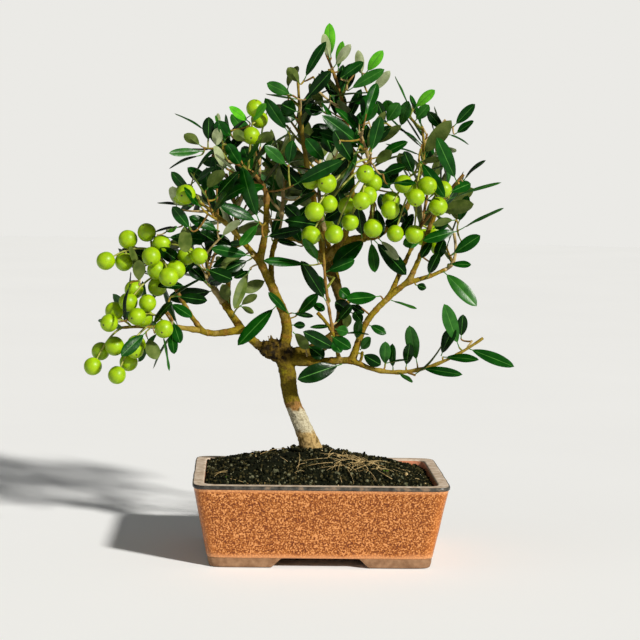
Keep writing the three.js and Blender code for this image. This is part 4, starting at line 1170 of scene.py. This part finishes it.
def nearest_limbs(points, limbs):
    """For each point the limb it lies on, the distance along it, and its offset from the middle."""
    places, owners, runs, lines = [], [], [], []
    for index, limb in enumerate(limbs.values()):
        for share in np.linspace(0, 1, limb.curve.steps(BARK.sample, BARK.least_samples)):
            places.append(limb.curve.point(share))
            lines.append(limb.curve.tangent(share))
            owners.append(index)
            runs.append(share * limb.curve.length)
    tree = KDTree(len(places))
    for index, place in enumerate(places):
        tree.insert(place, index)
    tree.balance()
    found = np.array([tree.find(point)[1] for point in points])
    places, lines = np.array(places), np.array(lines)
    offset = points - places[found]
    along = (offset * lines[found]).sum(axis=1)
    offset -= along[:, None] * lines[found]
    return np.array(owners)[found], np.array(runs)[found] + along, offset


def knob_share(points):
    """How far inside the knob's ragged skin each point lies, from 0 to 1."""
    local = (points - np.array(TRUNK.knob)) @ knob_tilt() / np.array(TRUNK.knob_size)
    return 1 - smooth_step(*TRUNK.knob_edge, norm(local, axis=1))


def growth_rings(owner, run, width):
    """How close each point lies to one of the rings along its limb, from 0 to 1."""
    beat = np.mod(run + BARK.node_shift * owner, BARK.node_step) - BARK.node_step / 2
    return np.exp(-(beat / width) ** 2)


def bark_relief(points, owner, run, offset, knob):
    """How far each point of the bark stands out, in mm."""
    along = run / BARK.streak_along + owner * BARK.streak_apart
    streaks = np.column_stack([offset[:, :2] * BARK.streak_across, along])
    plates = layers(points, BARK.plates) + BARK.streak * noise(streaks, BARK.streak_seed)
    cracks = np.clip(noise(points / BARK.cracks, BARK.crack_seed) - BARK.crack_from, 0, 1)
    trunk = BARK.trunk * (plates - BARK.crack_depth * cracks)
    bough = BARK.bough * layers(points, BARK.skin) + BARK.node * growth_rings(owner, run, BARK.node_width)
    wood = mix(bough, trunk, (owner == 0).astype(float))
    return mix(wood, BARK.knob * layers(points, BARK.ragged), knob)


def bark_colours(points, owner, run, offset, knob, names):
    """A colour for each point of the bark, in light."""
    look = BARK_LOOK
    tone = {name: linear(colour) for name, colour in BARK_TONES.items()}
    height = points[:, 2] + layers(points, look.uneven)

    def blend(first, second, share):
        return mix(first, second, np.clip(share, 0, 1)[:, None])

    def lies_on(*limbs):
        return np.isin(owner, [names.index(name) for name in limbs]).astype(float)

    trunk = tone["tan"]
    for name, span in look.bands.items():
        trunk = blend(trunk, tone[name], smooth_step(*span, height))
    # Painted highlight: the paler yellow olive in spots on the trunk's front, high up
    front = smooth_step(*look.moss_front, -offset[:, 1]) * spots(points, *look.moss_spots)
    trunk = blend(trunk, tone["moss"], front * smooth_step(*look.moss_high, height))
    dark = look.dark * np.clip(noise(points / look.dark_grain, look.dark_seed) - look.dark_from, 0, 1)
    worn = look.worn * smooth_step(*look.worn_high, height) - smooth_step(*look.bands["patch"], height)
    trunk = blend(trunk, tone["brown"], dark * (1 - worn))
    bough = blend(tone["ochre"], tone["brown"], look.brown * spots(points, *look.brown_spots))
    bough = blend(bough, tone["beige"], look.beige * spots(points, *look.beige_spots))
    bough = blend(bough, tone["node"], look.node * growth_rings(owner, run, look.node_width))
    bough = blend(bough, tone["rear"], look.rear * lies_on("bough_rear", "bough_rear_rise"))
    near_trunk = lies_on("bough_low_right", "bough_rear") * (1 - smooth_step(*look.olive_run, run))
    bough = blend(bough, tone["olive"], look.olive * near_trunk)
    wood = blend(bough, trunk, lies_on("trunk"))
    ragged = blend(tone["knob"], tone["knob_dark"], spots(points, *look.knob_spots))
    return blend(wood, ragged, knob)


def make_limbs(limbs):
    mesh = fused(limb_soup(limbs), "limbs")
    mesh.update()
    points = (read_points(mesh.vertices, "co") - POT_MIDDLE) / MM
    normals = read_points(mesh.vertex_normals, "vector")
    owner, run, offset = nearest_limbs(points, limbs)
    knob = knob_share(points)
    relief = bark_relief(points, owner, run, offset, knob)
    moved = points + normals * relief[:, None]
    mesh.vertices.foreach_set("co", (moved * MM + POT_MIDDLE).astype(np.float32).ravel())
    mesh.shade_smooth()
    mesh.update()
    paint(mesh, bark_colours(points, owner, run, offset, knob, list(limbs)), 1)
    make_piece(mesh, [bark_material()], "bark", *limbs)


# Growth of the shoots

class Crowd:
    """Balls that fill the room that limbs, fruit, twigs and leaves have taken."""

    def __init__(self):
        self.centres, self.radii, self.owners = np.empty((0, 3)), np.empty(0), np.empty(0, int)
        self.last_owner = 0

    def new_owner(self):
        self.last_owner += 1
        return self.last_owner

    def add(self, centres, radii, owner):
        self.centres = np.concatenate([self.centres, centres])
        self.radii = np.concatenate([self.radii, np.broadcast_to(radii, len(centres))])
        self.owners = np.concatenate([self.owners, np.full(len(centres), owner)])

    def meets(self, centres, radii, but=0):
        """Which balls touch one that another owner has taken."""
        others = self.owners != but
        gaps = norm(np.asarray(centres)[:, None] - self.centres[None, others], axis=2)
        room = np.broadcast_to(radii, len(centres))[:, None] + self.radii[None, others] + ROOM
        return (gaps < room).any(axis=1)


def balls_along(curve, radius):
    shares = np.linspace(0, 1, math.ceil(curve.length / BALL_STEP) + 1)
    return shares, curve.points(shares), np.array([radius(share) for share in shares])


def lay_stems(limbs):
    """Each mass's stem, going on from its bough's tip, and the middle of its space."""
    masses = []
    for name, bough, tip, reach, twigs, seed, fruit in MASSES:
        limb = limbs[bough]
        heading = limb.curve.tangent(1)
        start = limb.curve.point(1) + heading * SHOOT.gap
        tip = np.array(tip, float)
        bend = start + heading * SHOOT.stem_bow * norm(tip - start)
        stem = bent_curve(start, bend, tip)
        reach = np.array(reach, float)
        middle = stem.point(SHOOT.space_middle) + UP * SHOOT.space_lift * reach[2]
        radius = tapering(limb.radius(1), SHOOT.stem_end)
        masses.append(Sizes(
            name=name, stem=stem, radius=radius, middle=middle, reach=reach, twigs=twigs, seed=seed,
            fruit=fruit, heading=heading, shoots=[], clusters=[], leaves=[],
            space=OPEN_SPACE.get(name, LEAF.space),
        ))
    return masses


def in_space(mass, points, share):
    """Which points lie within a share of a mass's space."""
    return (((points - mass.middle) / mass.reach) ** 2).sum(axis=-1) < share**2


def lay_stalk(mass, place, end):
    """A stalk from the stem, arched and hanging."""
    start, end = mass.stem.point(place), np.array(end, float)
    return bent_curve(start, (start + end) / 2 + UP * OLIVE.arch * norm(end - start), end)


def lay_olive(stalk, index, turn):
    """An olive at the end of a stalk, or beside it further up."""
    share = max(OLIVE.first_place, OLIVE.last_place - index * OLIVE.spacing * OLIVE.radius / stalk.length)
    along = stalk.tangent(share)
    beside = unit(leaning(along, OLIVE.spread, turn) - UP * OLIVE.hang)
    direction = along if index == 0 else beside
    root = stalk.point(share)
    return Sizes(root=root, direction=direction, centre=root + direction * (OLIVE.radius + OLIVE.neck))


def grow_olive(mass, crowd, stalk, index, olives, roll):
    """One more olive of a cluster, turned and tried again where it would touch something."""
    for _ in range(OLIVE.tries):
        olive = lay_olive(stalk, index, TURN * roll())
        gaps = [norm(olive.centre - other.centre) for other in olives]
        apart = all(gap > 2 * OLIVE.radius + ROOM for gap in gaps)
        if apart and not crowd.meets([olive.centre], OLIVE.radius, mass.owner).any():
            olives.append(olive)
            return


def grow_fruit(mass, crowd):
    """A mass's fruit on free stalks."""
    for number, (place, end, count) in enumerate(mass.fruit):
        roll = dice(mass.seed * SEED_STEP + FRUIT_SEED + number)
        stalk = lay_stalk(mass, place, end)
        shares, centres, radii = balls_along(stalk, tapering(OLIVE.stalk_radius, OLIVE.stalk_radius))
        free = shares > OLIVE.first_place
        if crowd.meets(centres[free], radii[free], mass.owner).any():
            continue
        olives = []
        for index in range(count):
            grow_olive(mass, crowd, stalk, index, olives, roll)
        owner = crowd.new_owner()
        crowd.add(centres, radii, owner)
        crowd.add(np.array([olive.centre for olive in olives]).reshape(-1, 3), OLIVE.radius, owner)
        mass.clusters.append(Sizes(stalk=stalk, olives=olives))


def lay_shoot(parent, share, turn, longest, roll):
    """A shoot from a parent shoot, lifting towards the light."""
    angle = SHOOT.fork_angle + SHOOT.fork_spread * (roll() - 0.5)
    direction = leaning(parent.tangent(share), angle, turn + TURN * roll())
    length = longest * mix(*SHOOT.length_spread, roll())
    start = parent.point(share)
    end = start + direction * length + UP * SHOOT.lift * length
    return bent_curve(start, start + direction * length / 2, end)


def grow_shoot(mass, crowd, parent, share, turn, longest, kind, roll):
    """A shoot that keeps to the space and touches nothing, turned and tried again where it would."""
    for _ in range(kind.tries):
        curve = lay_shoot(parent.curve, share, turn, longest, roll)
        shares, centres, thick = balls_along(curve, tapering(*kind.radius))
        free = shares > SHOOT.first_pair
        if not crowd.meets(centres[free], thick[free]).any() and in_space(mass, curve.point(1), kind.space):
            owner = crowd.new_owner()
            crowd.add(centres, thick, owner)
            radius = tapering(*kind.radius)
            shoot = Sizes(curve=curve, radius=radius, owner=owner, parent=parent, place=share, used=0)
            mass.shoots.append(shoot)
            return


def grow_twigs(mass, crowd):
    roll = dice(mass.seed)
    for index in range(mass.twigs):
        share = mix(SHOOT.first_twig, 1, (index + 0.5) / mass.twigs)
        longest = mass.reach.mean() * SHOOT.twig_length * (1 - SHOOT.twig_shrink * share)
        grow_shoot(mass, crowd, mass.shoots[0], share, SHOOT.twig_turn * index, longest, TWIG, roll)


def grow_side_shoots(mass, crowd):
    """The finer twigs, a few on each twig of a bushy mass."""
    if mass.twigs < SHOOT.bushy:
        return
    roll = dice(mass.seed * SEED_STEP + SHOOT.side_seed)
    for twig in list(mass.shoots[1:]):
        for index, share in enumerate(SHOOT.side_places):
            shrunk = SHOOT.side_first - SHOOT.side_shrink * share
            longest = twig.curve.length * SHOOT.side_length * shrunk
            grow_shoot(mass, crowd, twig, share, SHOOT.twig_turn * index, longest, SIDE_TWIG, roll)


def grow_spurs(limbs, masses, lone, crowd):
    """Short twigs from the nearest wood to the single leaves that stand off it."""
    wood = [*limbs.values(), *[shoot for mass in masses for shoot in mass.shoots]]
    laid = [balls_along(shoot.curve, shoot.radius) for shoot in wood]
    bearers = [(shoot, share) for shoot, (shares, _, _) in zip(wood, laid) for share in shares]
    centres = np.concatenate([places for _, places, _ in laid])
    radii = np.concatenate([thick for _, _, thick in laid])
    spurs = []
    for leaf in lone:
        gaps = norm(centres - leaf.start, axis=1) - radii
        nearest = np.argmin(gaps)
        bearer, place = bearers[nearest]
        bearer.used = max(bearer.used, place)
        if gaps[nearest] < SHOOT.held:
            continue
        bend = leaf.start - leaf.direction * SHOOT.spur_bend * gaps[nearest]
        curve = bent_curve(centres[nearest], bend, leaf.start)
        spur = Sizes(curve=curve, radius=tapering(*SHOOT.spur_radius), used=1)
        shares, places, thick = balls_along(spur.curve, spur.radius)
        crowd.add(places, thick, crowd.new_owner())
        centres, radii = np.concatenate([centres, places]), np.concatenate([radii, thick])
        bearers += [(spur, share) for share in shares]
        spurs.append(spur)
    return spurs


def cut_back(curve, end):
    """A curve's stretch up to a share of it."""
    return Curve(lambda share: curve.point(share * end))


def trim_shoots(mass):
    """Cuts each twig back to the last leaf or twig that it bears, and drops the bare ones."""
    stem, *twigs = mass.shoots
    for twig in reversed(twigs):
        if twig.used:
            twig.parent.used = max(twig.parent.used, twig.place)
    for twig in twigs:
        twig.curve = cut_back(twig.curve, min(twig.used + SHOOT.past_leaf, 1))
    mass.shoots = [stem, *[twig for twig in twigs if twig.used]]


# Leaves

def outline_share(share):
    """A leaf's width at a share of its length, 1 at the widest."""
    widest = LEAF.base_power / (LEAF.base_power + LEAF.tip_power)
    most = widest ** LEAF.base_power * (1 - widest) ** LEAF.tip_power
    share = np.clip(share, 0, 1)
    return share ** LEAF.base_power * (1 - share) ** LEAF.tip_power / most


def leaf_places(curve, spacing, roll):
    """Places of the leaves on a shoot, in opposite pairs, each pair a quarter turn from the last."""
    room = curve.length * (1 - SHOOT.first_pair)
    pairs = max(2, round(room / spacing) + 1)
    turn = math.pi * roll()
    for pair in range(pairs):
        age = 1 - pair / (pairs - 1)
        share = mix(SHOOT.last_pair, SHOOT.first_pair, age)
        for half in (0, math.pi):
            yield share, age, turn + half + pair * math.pi / 2


def make_leaf(start, direction, face, size):
    """A leaf's frame: midrib, upper face and the way across, and its size."""
    face = unit(face - direction * (face @ direction))
    return Sizes(
        start=start, core=start - face * LEAF.thickness / 2, direction=direction, face=face,
        side=np.cross(face, direction), length=LEAF.length * size, width=LEAF.width * size,
    )


def lay_leaf(curve, share, age, turn, roll):
    """A leaf at its place on a shoot, turned and tilted by chance."""
    start = curve.point(share)
    angle = mix(LEAF.close_angle, LEAF.open_angle, age) + LEAF.angle_spread * (roll() - 0.5)
    direction = leaning(curve.tangent(share), angle, turn + LEAF.turn_spread * (roll() - 0.5))
    face = unit(start - CROWN_MIDDLE) * LEAF.out + UP * LEAF.up
    face = face + LEAF.toss * np.array([roll() - 0.5, roll() - 0.5, roll() - 0.5])
    size = mix(*LEAF.size_spread, roll()) * mix(LEAF.young_size, 1, age)
    return make_leaf(start, direction, face, size)


def leaf_balls(leaf):
    """Middles of small balls along a leaf's midrib and edges, past its foot."""
    shares = mix(LEAF.foot, 1, np.arange(1, LEAF.steps + 1) / LEAF.steps)[:, None, None]
    half = leaf.width / 2 * outline_share(shares)
    offsets = np.array([-1, 0, 1])[None, :, None]
    return (leaf.core + shares * leaf.length * leaf.direction + half * offsets * leaf.side).reshape(-1, 3)


def blade_meets(leaf, centres, radii):
    """Which balls touch a leaf's blade, past its foot."""
    offset = centres - leaf.core
    room = radii + ROOM
    along = offset @ leaf.direction
    half = leaf.width / 2 * outline_share(along / leaf.length)
    level = np.abs(offset @ leaf.face) < room + LEAF.thickness / 2
    within = (along > LEAF.foot * leaf.length) & (along < leaf.length + room)
    return level & within & (np.abs(offset @ leaf.side) < half + room)


def neighbours(start, crowd, owner, leaves):
    """The balls and leaves that a leaf starting at a place could touch."""
    beside = np.abs(crowd.centres - start).max(axis=1) < LEAF.near_wood * LEAF.length
    close = beside & (crowd.owners != owner)
    near = [leaf for leaf in leaves if norm(leaf.start - start) < LEAF.near_leaf * LEAF.length]
    return crowd.centres[close], crowd.radii[close], near


def fits(leaf, mass, centres, radii, near):
    """Whether a leaf keeps to the space and touches nothing but its own shoot."""
    balls = leaf_balls(leaf)
    if not in_space(mass, balls, mass.space).all() or blade_meets(leaf, centres, radii).any():
        return False
    return not any(blade_meets(other, balls, LEAF.thickness / 2).any() for other in near)


def spray_tones(roll):
    """Tones of a spray's upper faces and undersides."""
    chance = roll()
    top = DEEP if chance < SPRAY.deep else MID if chance < SPRAY.mid else DARK_SHADED
    return top, UNDER_SAGE if roll() < SPRAY.sage else UNDER_OLIVE


def grow_buds(mass, shoot, tone):
    """Two small young leaves at the tip of a fresh shoot."""
    end = shoot.curve.tangent(1)
    for half in (0, math.pi):
        direction = leaning(end, LEAF.bud_angle, half + tone())
        size = LEAF.bud_length * mix(*LEAF.bud_spread, tone())
        bud = make_leaf(shoot.curve.point(1), direction, unit(direction - end), size)
        bud.top, bud.under, bud.roll = YOUNG, UNDER_SAGE, tone
        if in_space(mass, bud.start + bud.direction * bud.length, mass.space):
            mass.leaves.append(bud)
            shoot.used = 1


def grow_leaves(mass, index, crowd, leaves):
    shoot = mass.shoots[index]
    roll = dice(mass.seed * SEED_STEP + index)
    tone = dice(mass.seed * SEED_STEP + index + SPRAY.seed)
    top, under = spray_tones(tone)
    fresh = tone() < SPRAY.fresh + SPRAY.fresh_high * smooth_step(*SPRAY.high, shoot.curve.point(1)[2])
    spacing = SHOOT.pair_spacing if mass.twigs >= SHOOT.bushy else SHOOT.open_spacing
    for share, age, turn in leaf_places(shoot.curve, spacing, roll):
        centres, radii, near = neighbours(shoot.curve.point(share), crowd, shoot.owner, leaves)
        for _ in range(LEAF.tries):
            leaf = lay_leaf(shoot.curve, share, age, turn, roll)
            if fits(leaf, mass, centres, radii, near):
                young = fresh and age < SPRAY.young_age
                leaf.top, leaf.under = (YOUNG, UNDER_SAGE) if young else (top, under)
                leaf.roll = tone
                crowd.add(leaf_balls(leaf), LEAF.thickness / 2, crowd.new_owner())
                leaves.append(leaf)
                mass.leaves.append(leaf)
                shoot.used = max(shoot.used, share)
                break
    if fresh:
        grow_buds(mass, shoot, tone)


def leaf_rings(leaf):
    """Rings round a blade: six points over the upper face and three back under it."""
    aside = np.array([*LEAF.upper, *LEAF.lower])[None]
    below = np.array([0] * len(LEAF.upper) + [1] * len(LEAF.lower))[None]
    along = (np.arange(1, LEAF.stations) / LEAF.stations)[:, None]
    half = leaf.width / 2 * outline_share(along)
    fold, bend, twist = (mix(*span, leaf.roll()) for span in (LEAF.fold, LEAF.bend, LEAF.twist))
    wave, phase = LEAF.wave * leaf.roll(), TURN * leaf.roll()
    ripple = wave * np.sin(LEAF.wave_turn * along + phase + LEAF.wave_apart * np.sign(aside))
    folded = fold * (LEAF.fold_base - LEAF.fold_fade * along) + ripple
    groove = LEAF.groove * (np.abs(aside) < LEAF.groove_width) * (1 - below)
    rib = LEAF.rib * (aside == 0) * (1 - LEAF.rib_fade * along)
    thick = below * (LEAF.thickness * (1 - aside**2) + rib)
    wide = half * aside
    high = half * (folded * np.abs(aside) - LEAF.roll * aside**4) - groove - thick
    turn = twist * (along - LEAF.twist_middle)
    wide, high = wide * np.cos(turn) - high * np.sin(turn), wide * np.sin(turn) + high * np.cos(turn)
    high = high - bend * leaf.length * along**2
    root = leaf.start + LEAF.petiole * leaf.length * leaf.direction
    tip = leaf.start + leaf.length * leaf.direction - bend * leaf.length * leaf.face
    middle = root + along[..., None] * (1 - LEAF.petiole) * leaf.length * leaf.direction
    return middle + wide[..., None] * leaf.side + high[..., None] * leaf.face, root, tip


def add_leaf(soup, leaf):
    rings, root, tip = leaf_rings(leaf)
    band = [leaf.top] * 2 + [RIB] + [leaf.top] * 2 + [leaf.under] * 4
    soup.add(*loft(rings, root, tip), band * (len(rings) + 1))
    reach = leaf.direction * leaf.length
    bend = leaf.start + reach * LEAF.petiole_bend - leaf.face * LEAF.petiole_drop
    petiole = bent_curve(leaf.start, bend, root + reach * LEAF.petiole_sunk)
    radius = tapering(LEAF.petiole_radius, LEAF.petiole_radius * LEAF.petiole_end)
    add_tube(soup, petiole, radius, sides=5, steps=3, slot=RIB)


def lone_face(number, start, way, side):
    """The way a single leaf's upper face looks, by the side of it that shows."""
    look = unit(np.array(CAMERA.place) - start)
    beside = np.cross(look, way)
    if side == "edge":
        return LONE.edge * look + beside * np.sign(beside[2])
    towards = look + LONE.up * UP - LONE.shade * ACROSS if side == "up" else LONE.under * UP - look
    return towards + LONE.lean * math.sin(LONE.turn * number) * beside


def lay_lone(number, kind, row, nearer):
    """A single leaf, its tip swung nearer to the viewer by so many mm."""
    (tone, side), (*ends, depth, share) = kind, row
    root, tip = np.reshape(ends, (2, 2))
    near = LONE.near * norm(tip - root)
    start = picture_point(root, depth)
    way = picture_point(tip, depth - near - nearer) - start
    face = lone_face(number, start, unit(way), side)
    leaf = make_leaf(start, unit(way), face, norm(way) / LEAF.length)
    leaf.roll = dice(LONE.seed + number)
    leaf.width = LEAF.width * share
    leaf.top, leaf.under = LEAF_TONES[tone]
    return leaf


def grow_lone_leaves(crowd):
    """The single leaves on bare wood and open twigs, swung clear of what grew before."""
    leaves = []
    rows = [(kind, row) for kind, members in LONE_LEAVES.items() for row in members]
    for number, (kind, row) in enumerate(rows):
        for step in range(LONE.steps):
            leaf = lay_lone(number, kind, row, step * LONE.step)
            if not blade_meets(leaf, crowd.centres, crowd.radii).any():
                break
        leaves.append(leaf)
    for leaf in leaves:
        crowd.add(leaf_balls(leaf), LEAF.thickness / 2, crowd.new_owner())
    return leaves


# Pieces of the crown

def group_of(mass):
    """The part of the crown that a mass belongs to."""
    tip = mass.stem.point(1)
    if tip[1] > BACK_FROM:
        return "back"
    return "left" if tip[0] < LEFT_TO else "right"


def make_leaf_pieces(masses, lone):
    materials = leaf_materials()
    for group in ("left", "right", "back"):
        soup = Soup()
        members = [mass for mass in masses if group_of(mass) == group]
        leaves = [leaf for mass in members for leaf in mass.leaves]
        for leaf in [*leaves, *lone] if group == "right" else leaves:
            add_leaf(soup, leaf)
        mesh = soup.mesh("leaves_" + group, math.radians(LEAF.crease))
        make_piece(mesh, materials, "foliage", *[mass.name for mass in members])


def knotted(shoot):
    """A shoot's radius with a small swelling at each pair of leaves."""
    pairs = max(1, round(shoot.curve.length * (1 - SHOOT.first_pair) / SHOOT.pair_spacing))

    def radius(share):
        beat = (share - SHOOT.first_pair) / (SHOOT.last_pair - SHOOT.first_pair) * pairs
        swelling = SHOOT.knot * math.exp(-((beat - round(beat)) * SHOOT.knot_sharp) ** 2)
        return shoot.radius(share) * (1 + swelling)

    return radius


def make_twig_piece(masses, spurs):
    soup = Soup()
    for index, spur in enumerate(spurs):
        steps = spur.curve.steps(SHOOT.spur_step, SHOOT.least_spur_steps)
        add_tube(soup, spur.curve, spur.radius, SHOOT.twig_sides, steps, index % TWIG_TONES)
    for number, mass in enumerate(masses):
        for index, shoot in enumerate(mass.shoots):
            colour = number % STEM_TONES if index == 0 else (number + index) % TWIG_TONES
            steps = shoot.curve.steps(SHOOT.step, SHOOT.least_steps)
            sides = SHOOT.stem_sides if index == 0 else SHOOT.twig_sides
            add_tube(soup, shoot.curve, knotted(shoot), sides, steps, colour)
        start = mass.stem.point(0)
        joint = bent_curve(start - mass.heading * SHOOT.sunk, start, start + mass.heading * SHOOT.sunk)
        radius = tapering(mass.radius(0) * SHOOT.joint, mass.radius(0))
        add_tube(soup, joint, radius, sides=14, steps=3, slot=number % STEM_TONES)
    mesh = soup.mesh("twigs", math.radians(SHOOT.crease))
    make_piece(mesh, twig_materials(), "foliage", *[mass.name for mass in masses])


def pedicel_radius(share):
    return OLIVE.pedicel + OLIVE.pedicel_flare * share ** OLIVE.pedicel_ease


def add_olive(soup, olive, roll):
    """A fruit with a dented stalk end and calyx, a dot at its tip, and its pedicel."""
    size = OLIVE.radius * mix(*OLIVE.size_spread, roll())
    skin = np.linspace(OLIVE.calyx, math.pi - OLIVE.tip, OLIVE.rows)
    polar = np.concatenate([[OLIVE.calyx * OLIVE.calyx_inner], skin])
    side, upward = across(olive.direction)
    turn = around(OLIVE.columns)[None, :, None]
    spokes = np.cos(turn) * side + np.sin(turn) * upward
    dent = OLIVE.dent * np.exp(-(polar / OLIVE.dent_reach) ** 2)
    height = -np.cos(polar) * size * OLIVE.stretch + dent
    waves = np.sin(OLIVE.uneven_waves * polar + OLIVE.uneven_phase * roll())
    wide = np.sin(polar) * size * (1 + OLIVE.uneven * waves)
    rings = olive.centre + height[:, None, None] * olive.direction + wide[:, None, None] * spokes
    top = olive.centre + (OLIVE.dent - size * OLIVE.stretch) * olive.direction
    tip = olive.centre + (size * OLIVE.stretch - OLIVE.tip_dent) * olive.direction
    bands = [CALYX, CALYX, *[SKIN] * (OLIVE.rows - 1), DOT]
    soup.add(*loft(rings, top, tip), [band for band in bands for _ in range(OLIVE.columns)])
    bend = (olive.root + top) / 2 + UP * OLIVE.pedicel_arch * norm(top - olive.root)
    pedicel = bent_curve(olive.root, bend, top + olive.direction * OLIVE.pedicel_sunk)
    add_tube(soup, pedicel, pedicel_radius, sides=7, steps=6, slot=STALK)


def make_fruit_piece(masses):
    soup = Soup()
    bearing = [mass for mass in masses if mass.clusters]
    for mass in bearing:
        roll = dice(mass.seed * SEED_STEP + FRUIT_SEED)
        for cluster in mass.clusters:
            add_tube(soup, cluster.stalk, tapering(*OLIVE.stalk), sides=7, steps=14, slot=STALK)
            for olive in cluster.olives:
                add_olive(soup, olive, roll)
    mesh = soup.mesh("olives", math.radians(OLIVE.crease))
    make_piece(mesh, fruit_materials(), "foliage", *[mass.name for mass in bearing])


def grow_crown(limbs):
    """All masses: fruit first, then single leaves, twigs, finer twigs and leaves, each clear of the last."""
    masses = lay_stems(limbs)
    crowd = Crowd()
    for limb in limbs.values():
        _, centres, radii = balls_along(limb.curve, limb.radius)
        crowd.add(centres, radii, crowd.new_owner())
    for mass in masses:
        _, centres, radii = balls_along(mass.stem, mass.radius)
        mass.owner = crowd.new_owner()
        crowd.add(centres, radii, mass.owner)
        mass.shoots.append(Sizes(curve=mass.stem, radius=mass.radius, owner=mass.owner, used=1))
    for mass in masses:
        grow_fruit(mass, crowd)
    lone = grow_lone_leaves(crowd)
    for grow in (grow_twigs, grow_side_shoots):
        for mass in masses:
            grow(mass, crowd)
    spurs = grow_spurs(limbs, masses, lone, crowd)
    leaves = list(lone)
    for mass in masses:
        for index in range(len(mass.shoots)):
            grow_leaves(mass, index, crowd, leaves)
        trim_shoots(mass)
    return masses, lone, spurs


# Stage, light and camera

def make_floor():
    """A pale round floor, larger than any view."""
    turn = around(FLOOR.columns)[::-1]
    reach = FLOOR.radius * (np.arange(1, FLOOR.rings + 1)[:, None] / FLOOR.rings) ** 2
    rings = np.stack(np.broadcast_arrays(reach * np.cos(turn), reach * np.sin(turn), -FLOOR.drop), axis=-1)
    index = 1 + np.arange(FLOOR.rings * FLOOR.columns).reshape(FLOOR.rings, FLOOR.columns)
    points = [[0, 0, -FLOOR.drop], *rings.reshape(-1, 3).tolist()]
    mesh = bpy.data.meshes.new("floor")
    mesh.from_pydata(points, [], [*fan_faces(index[0], 0, False), *ring_faces(index)])
    mesh.materials.append(two_tone("floor", (239, 241, 242), (241, 243, 244), grain=400, roughness=0.85))
    floor = bpy.data.objects.new("floor", mesh)
    bpy.context.collection.objects.link(floor)


def add_lamp(name, way, angle, power, colour):
    """A far light that comes from a way and looks as wide as an angle in degrees."""
    lamp = bpy.data.lights.new(name, "SUN")
    lamp.angle = math.radians(angle)
    lamp.energy = power
    lamp.color = colour
    holder = bpy.data.objects.new(name, lamp)
    holder.location = Vector(way)
    holder.rotation_euler = (-Vector(way)).to_track_quat("-Z", "Y").to_euler()
    bpy.context.collection.objects.link(holder)


def make_room():
    """A pale room that is seen brighter than it lights."""
    world = bpy.data.worlds.new("room")
    world.use_nodes = True
    nodes, links = world.node_tree.nodes, world.node_tree.links
    nodes.clear()
    output = nodes.new("ShaderNodeOutputWorld")
    ray = nodes.new("ShaderNodeLightPath")
    blend = nodes.new("ShaderNodeMixShader")
    links.new(ray.outputs["Is Camera Ray"], blend.inputs["Fac"])
    links.new(blend.outputs["Shader"], output.inputs["Surface"])
    for socket, strength in enumerate((LIGHT.room, LIGHT.wall), 1):
        glow = nodes.new("ShaderNodeBackground")
        glow.inputs["Color"].default_value = (*linear(LIGHT.pale), 1)
        glow.inputs["Strength"].default_value = strength
        links.new(glow.outputs["Background"], blend.inputs[socket])
    bpy.context.scene.world = world


def make_light():
    """A key from the right in front, a weak fill from the left, and a pale room."""
    add_lamp("key", LIGHT.key_way, LIGHT.key_angle, LIGHT.key_power, LIGHT.key_colour)
    add_lamp("fill", LIGHT.fill_way, LIGHT.fill_angle, LIGHT.fill_power, LIGHT.fill_colour)
    make_room()
    bpy.context.scene.view_settings.view_transform = "Standard"


def make_camera():
    right, upward, ahead = camera_axes()
    turned = Matrix(np.column_stack([right, upward, -ahead]).tolist()).to_4x4()
    place = np.array(CAMERA.place) * MM + POT_MIDDLE
    camera = bpy.data.cameras.new("camera")
    camera.sensor_width = SENSOR
    camera.lens = CAMERA.focal / CAMERA.frame * SENSOR
    camera.clip_start, camera.clip_end = CAMERA.clip
    holder = bpy.data.objects.new("camera", camera)
    holder.matrix_world = Matrix.Translation(place.tolist()) @ turned
    bpy.context.collection.objects.link(holder)
    bpy.context.scene.camera = holder


def build():
    make_camera()
    make_light()
    make_floor()
    make_pot()
    make_soil()
    limbs = lay_limbs()
    make_limbs(limbs)
    masses, lone, spurs = grow_crown(limbs)
    make_leaf_pieces(masses, lone)
    make_twig_piece(masses, spurs)
    make_fruit_piece(masses)


build()
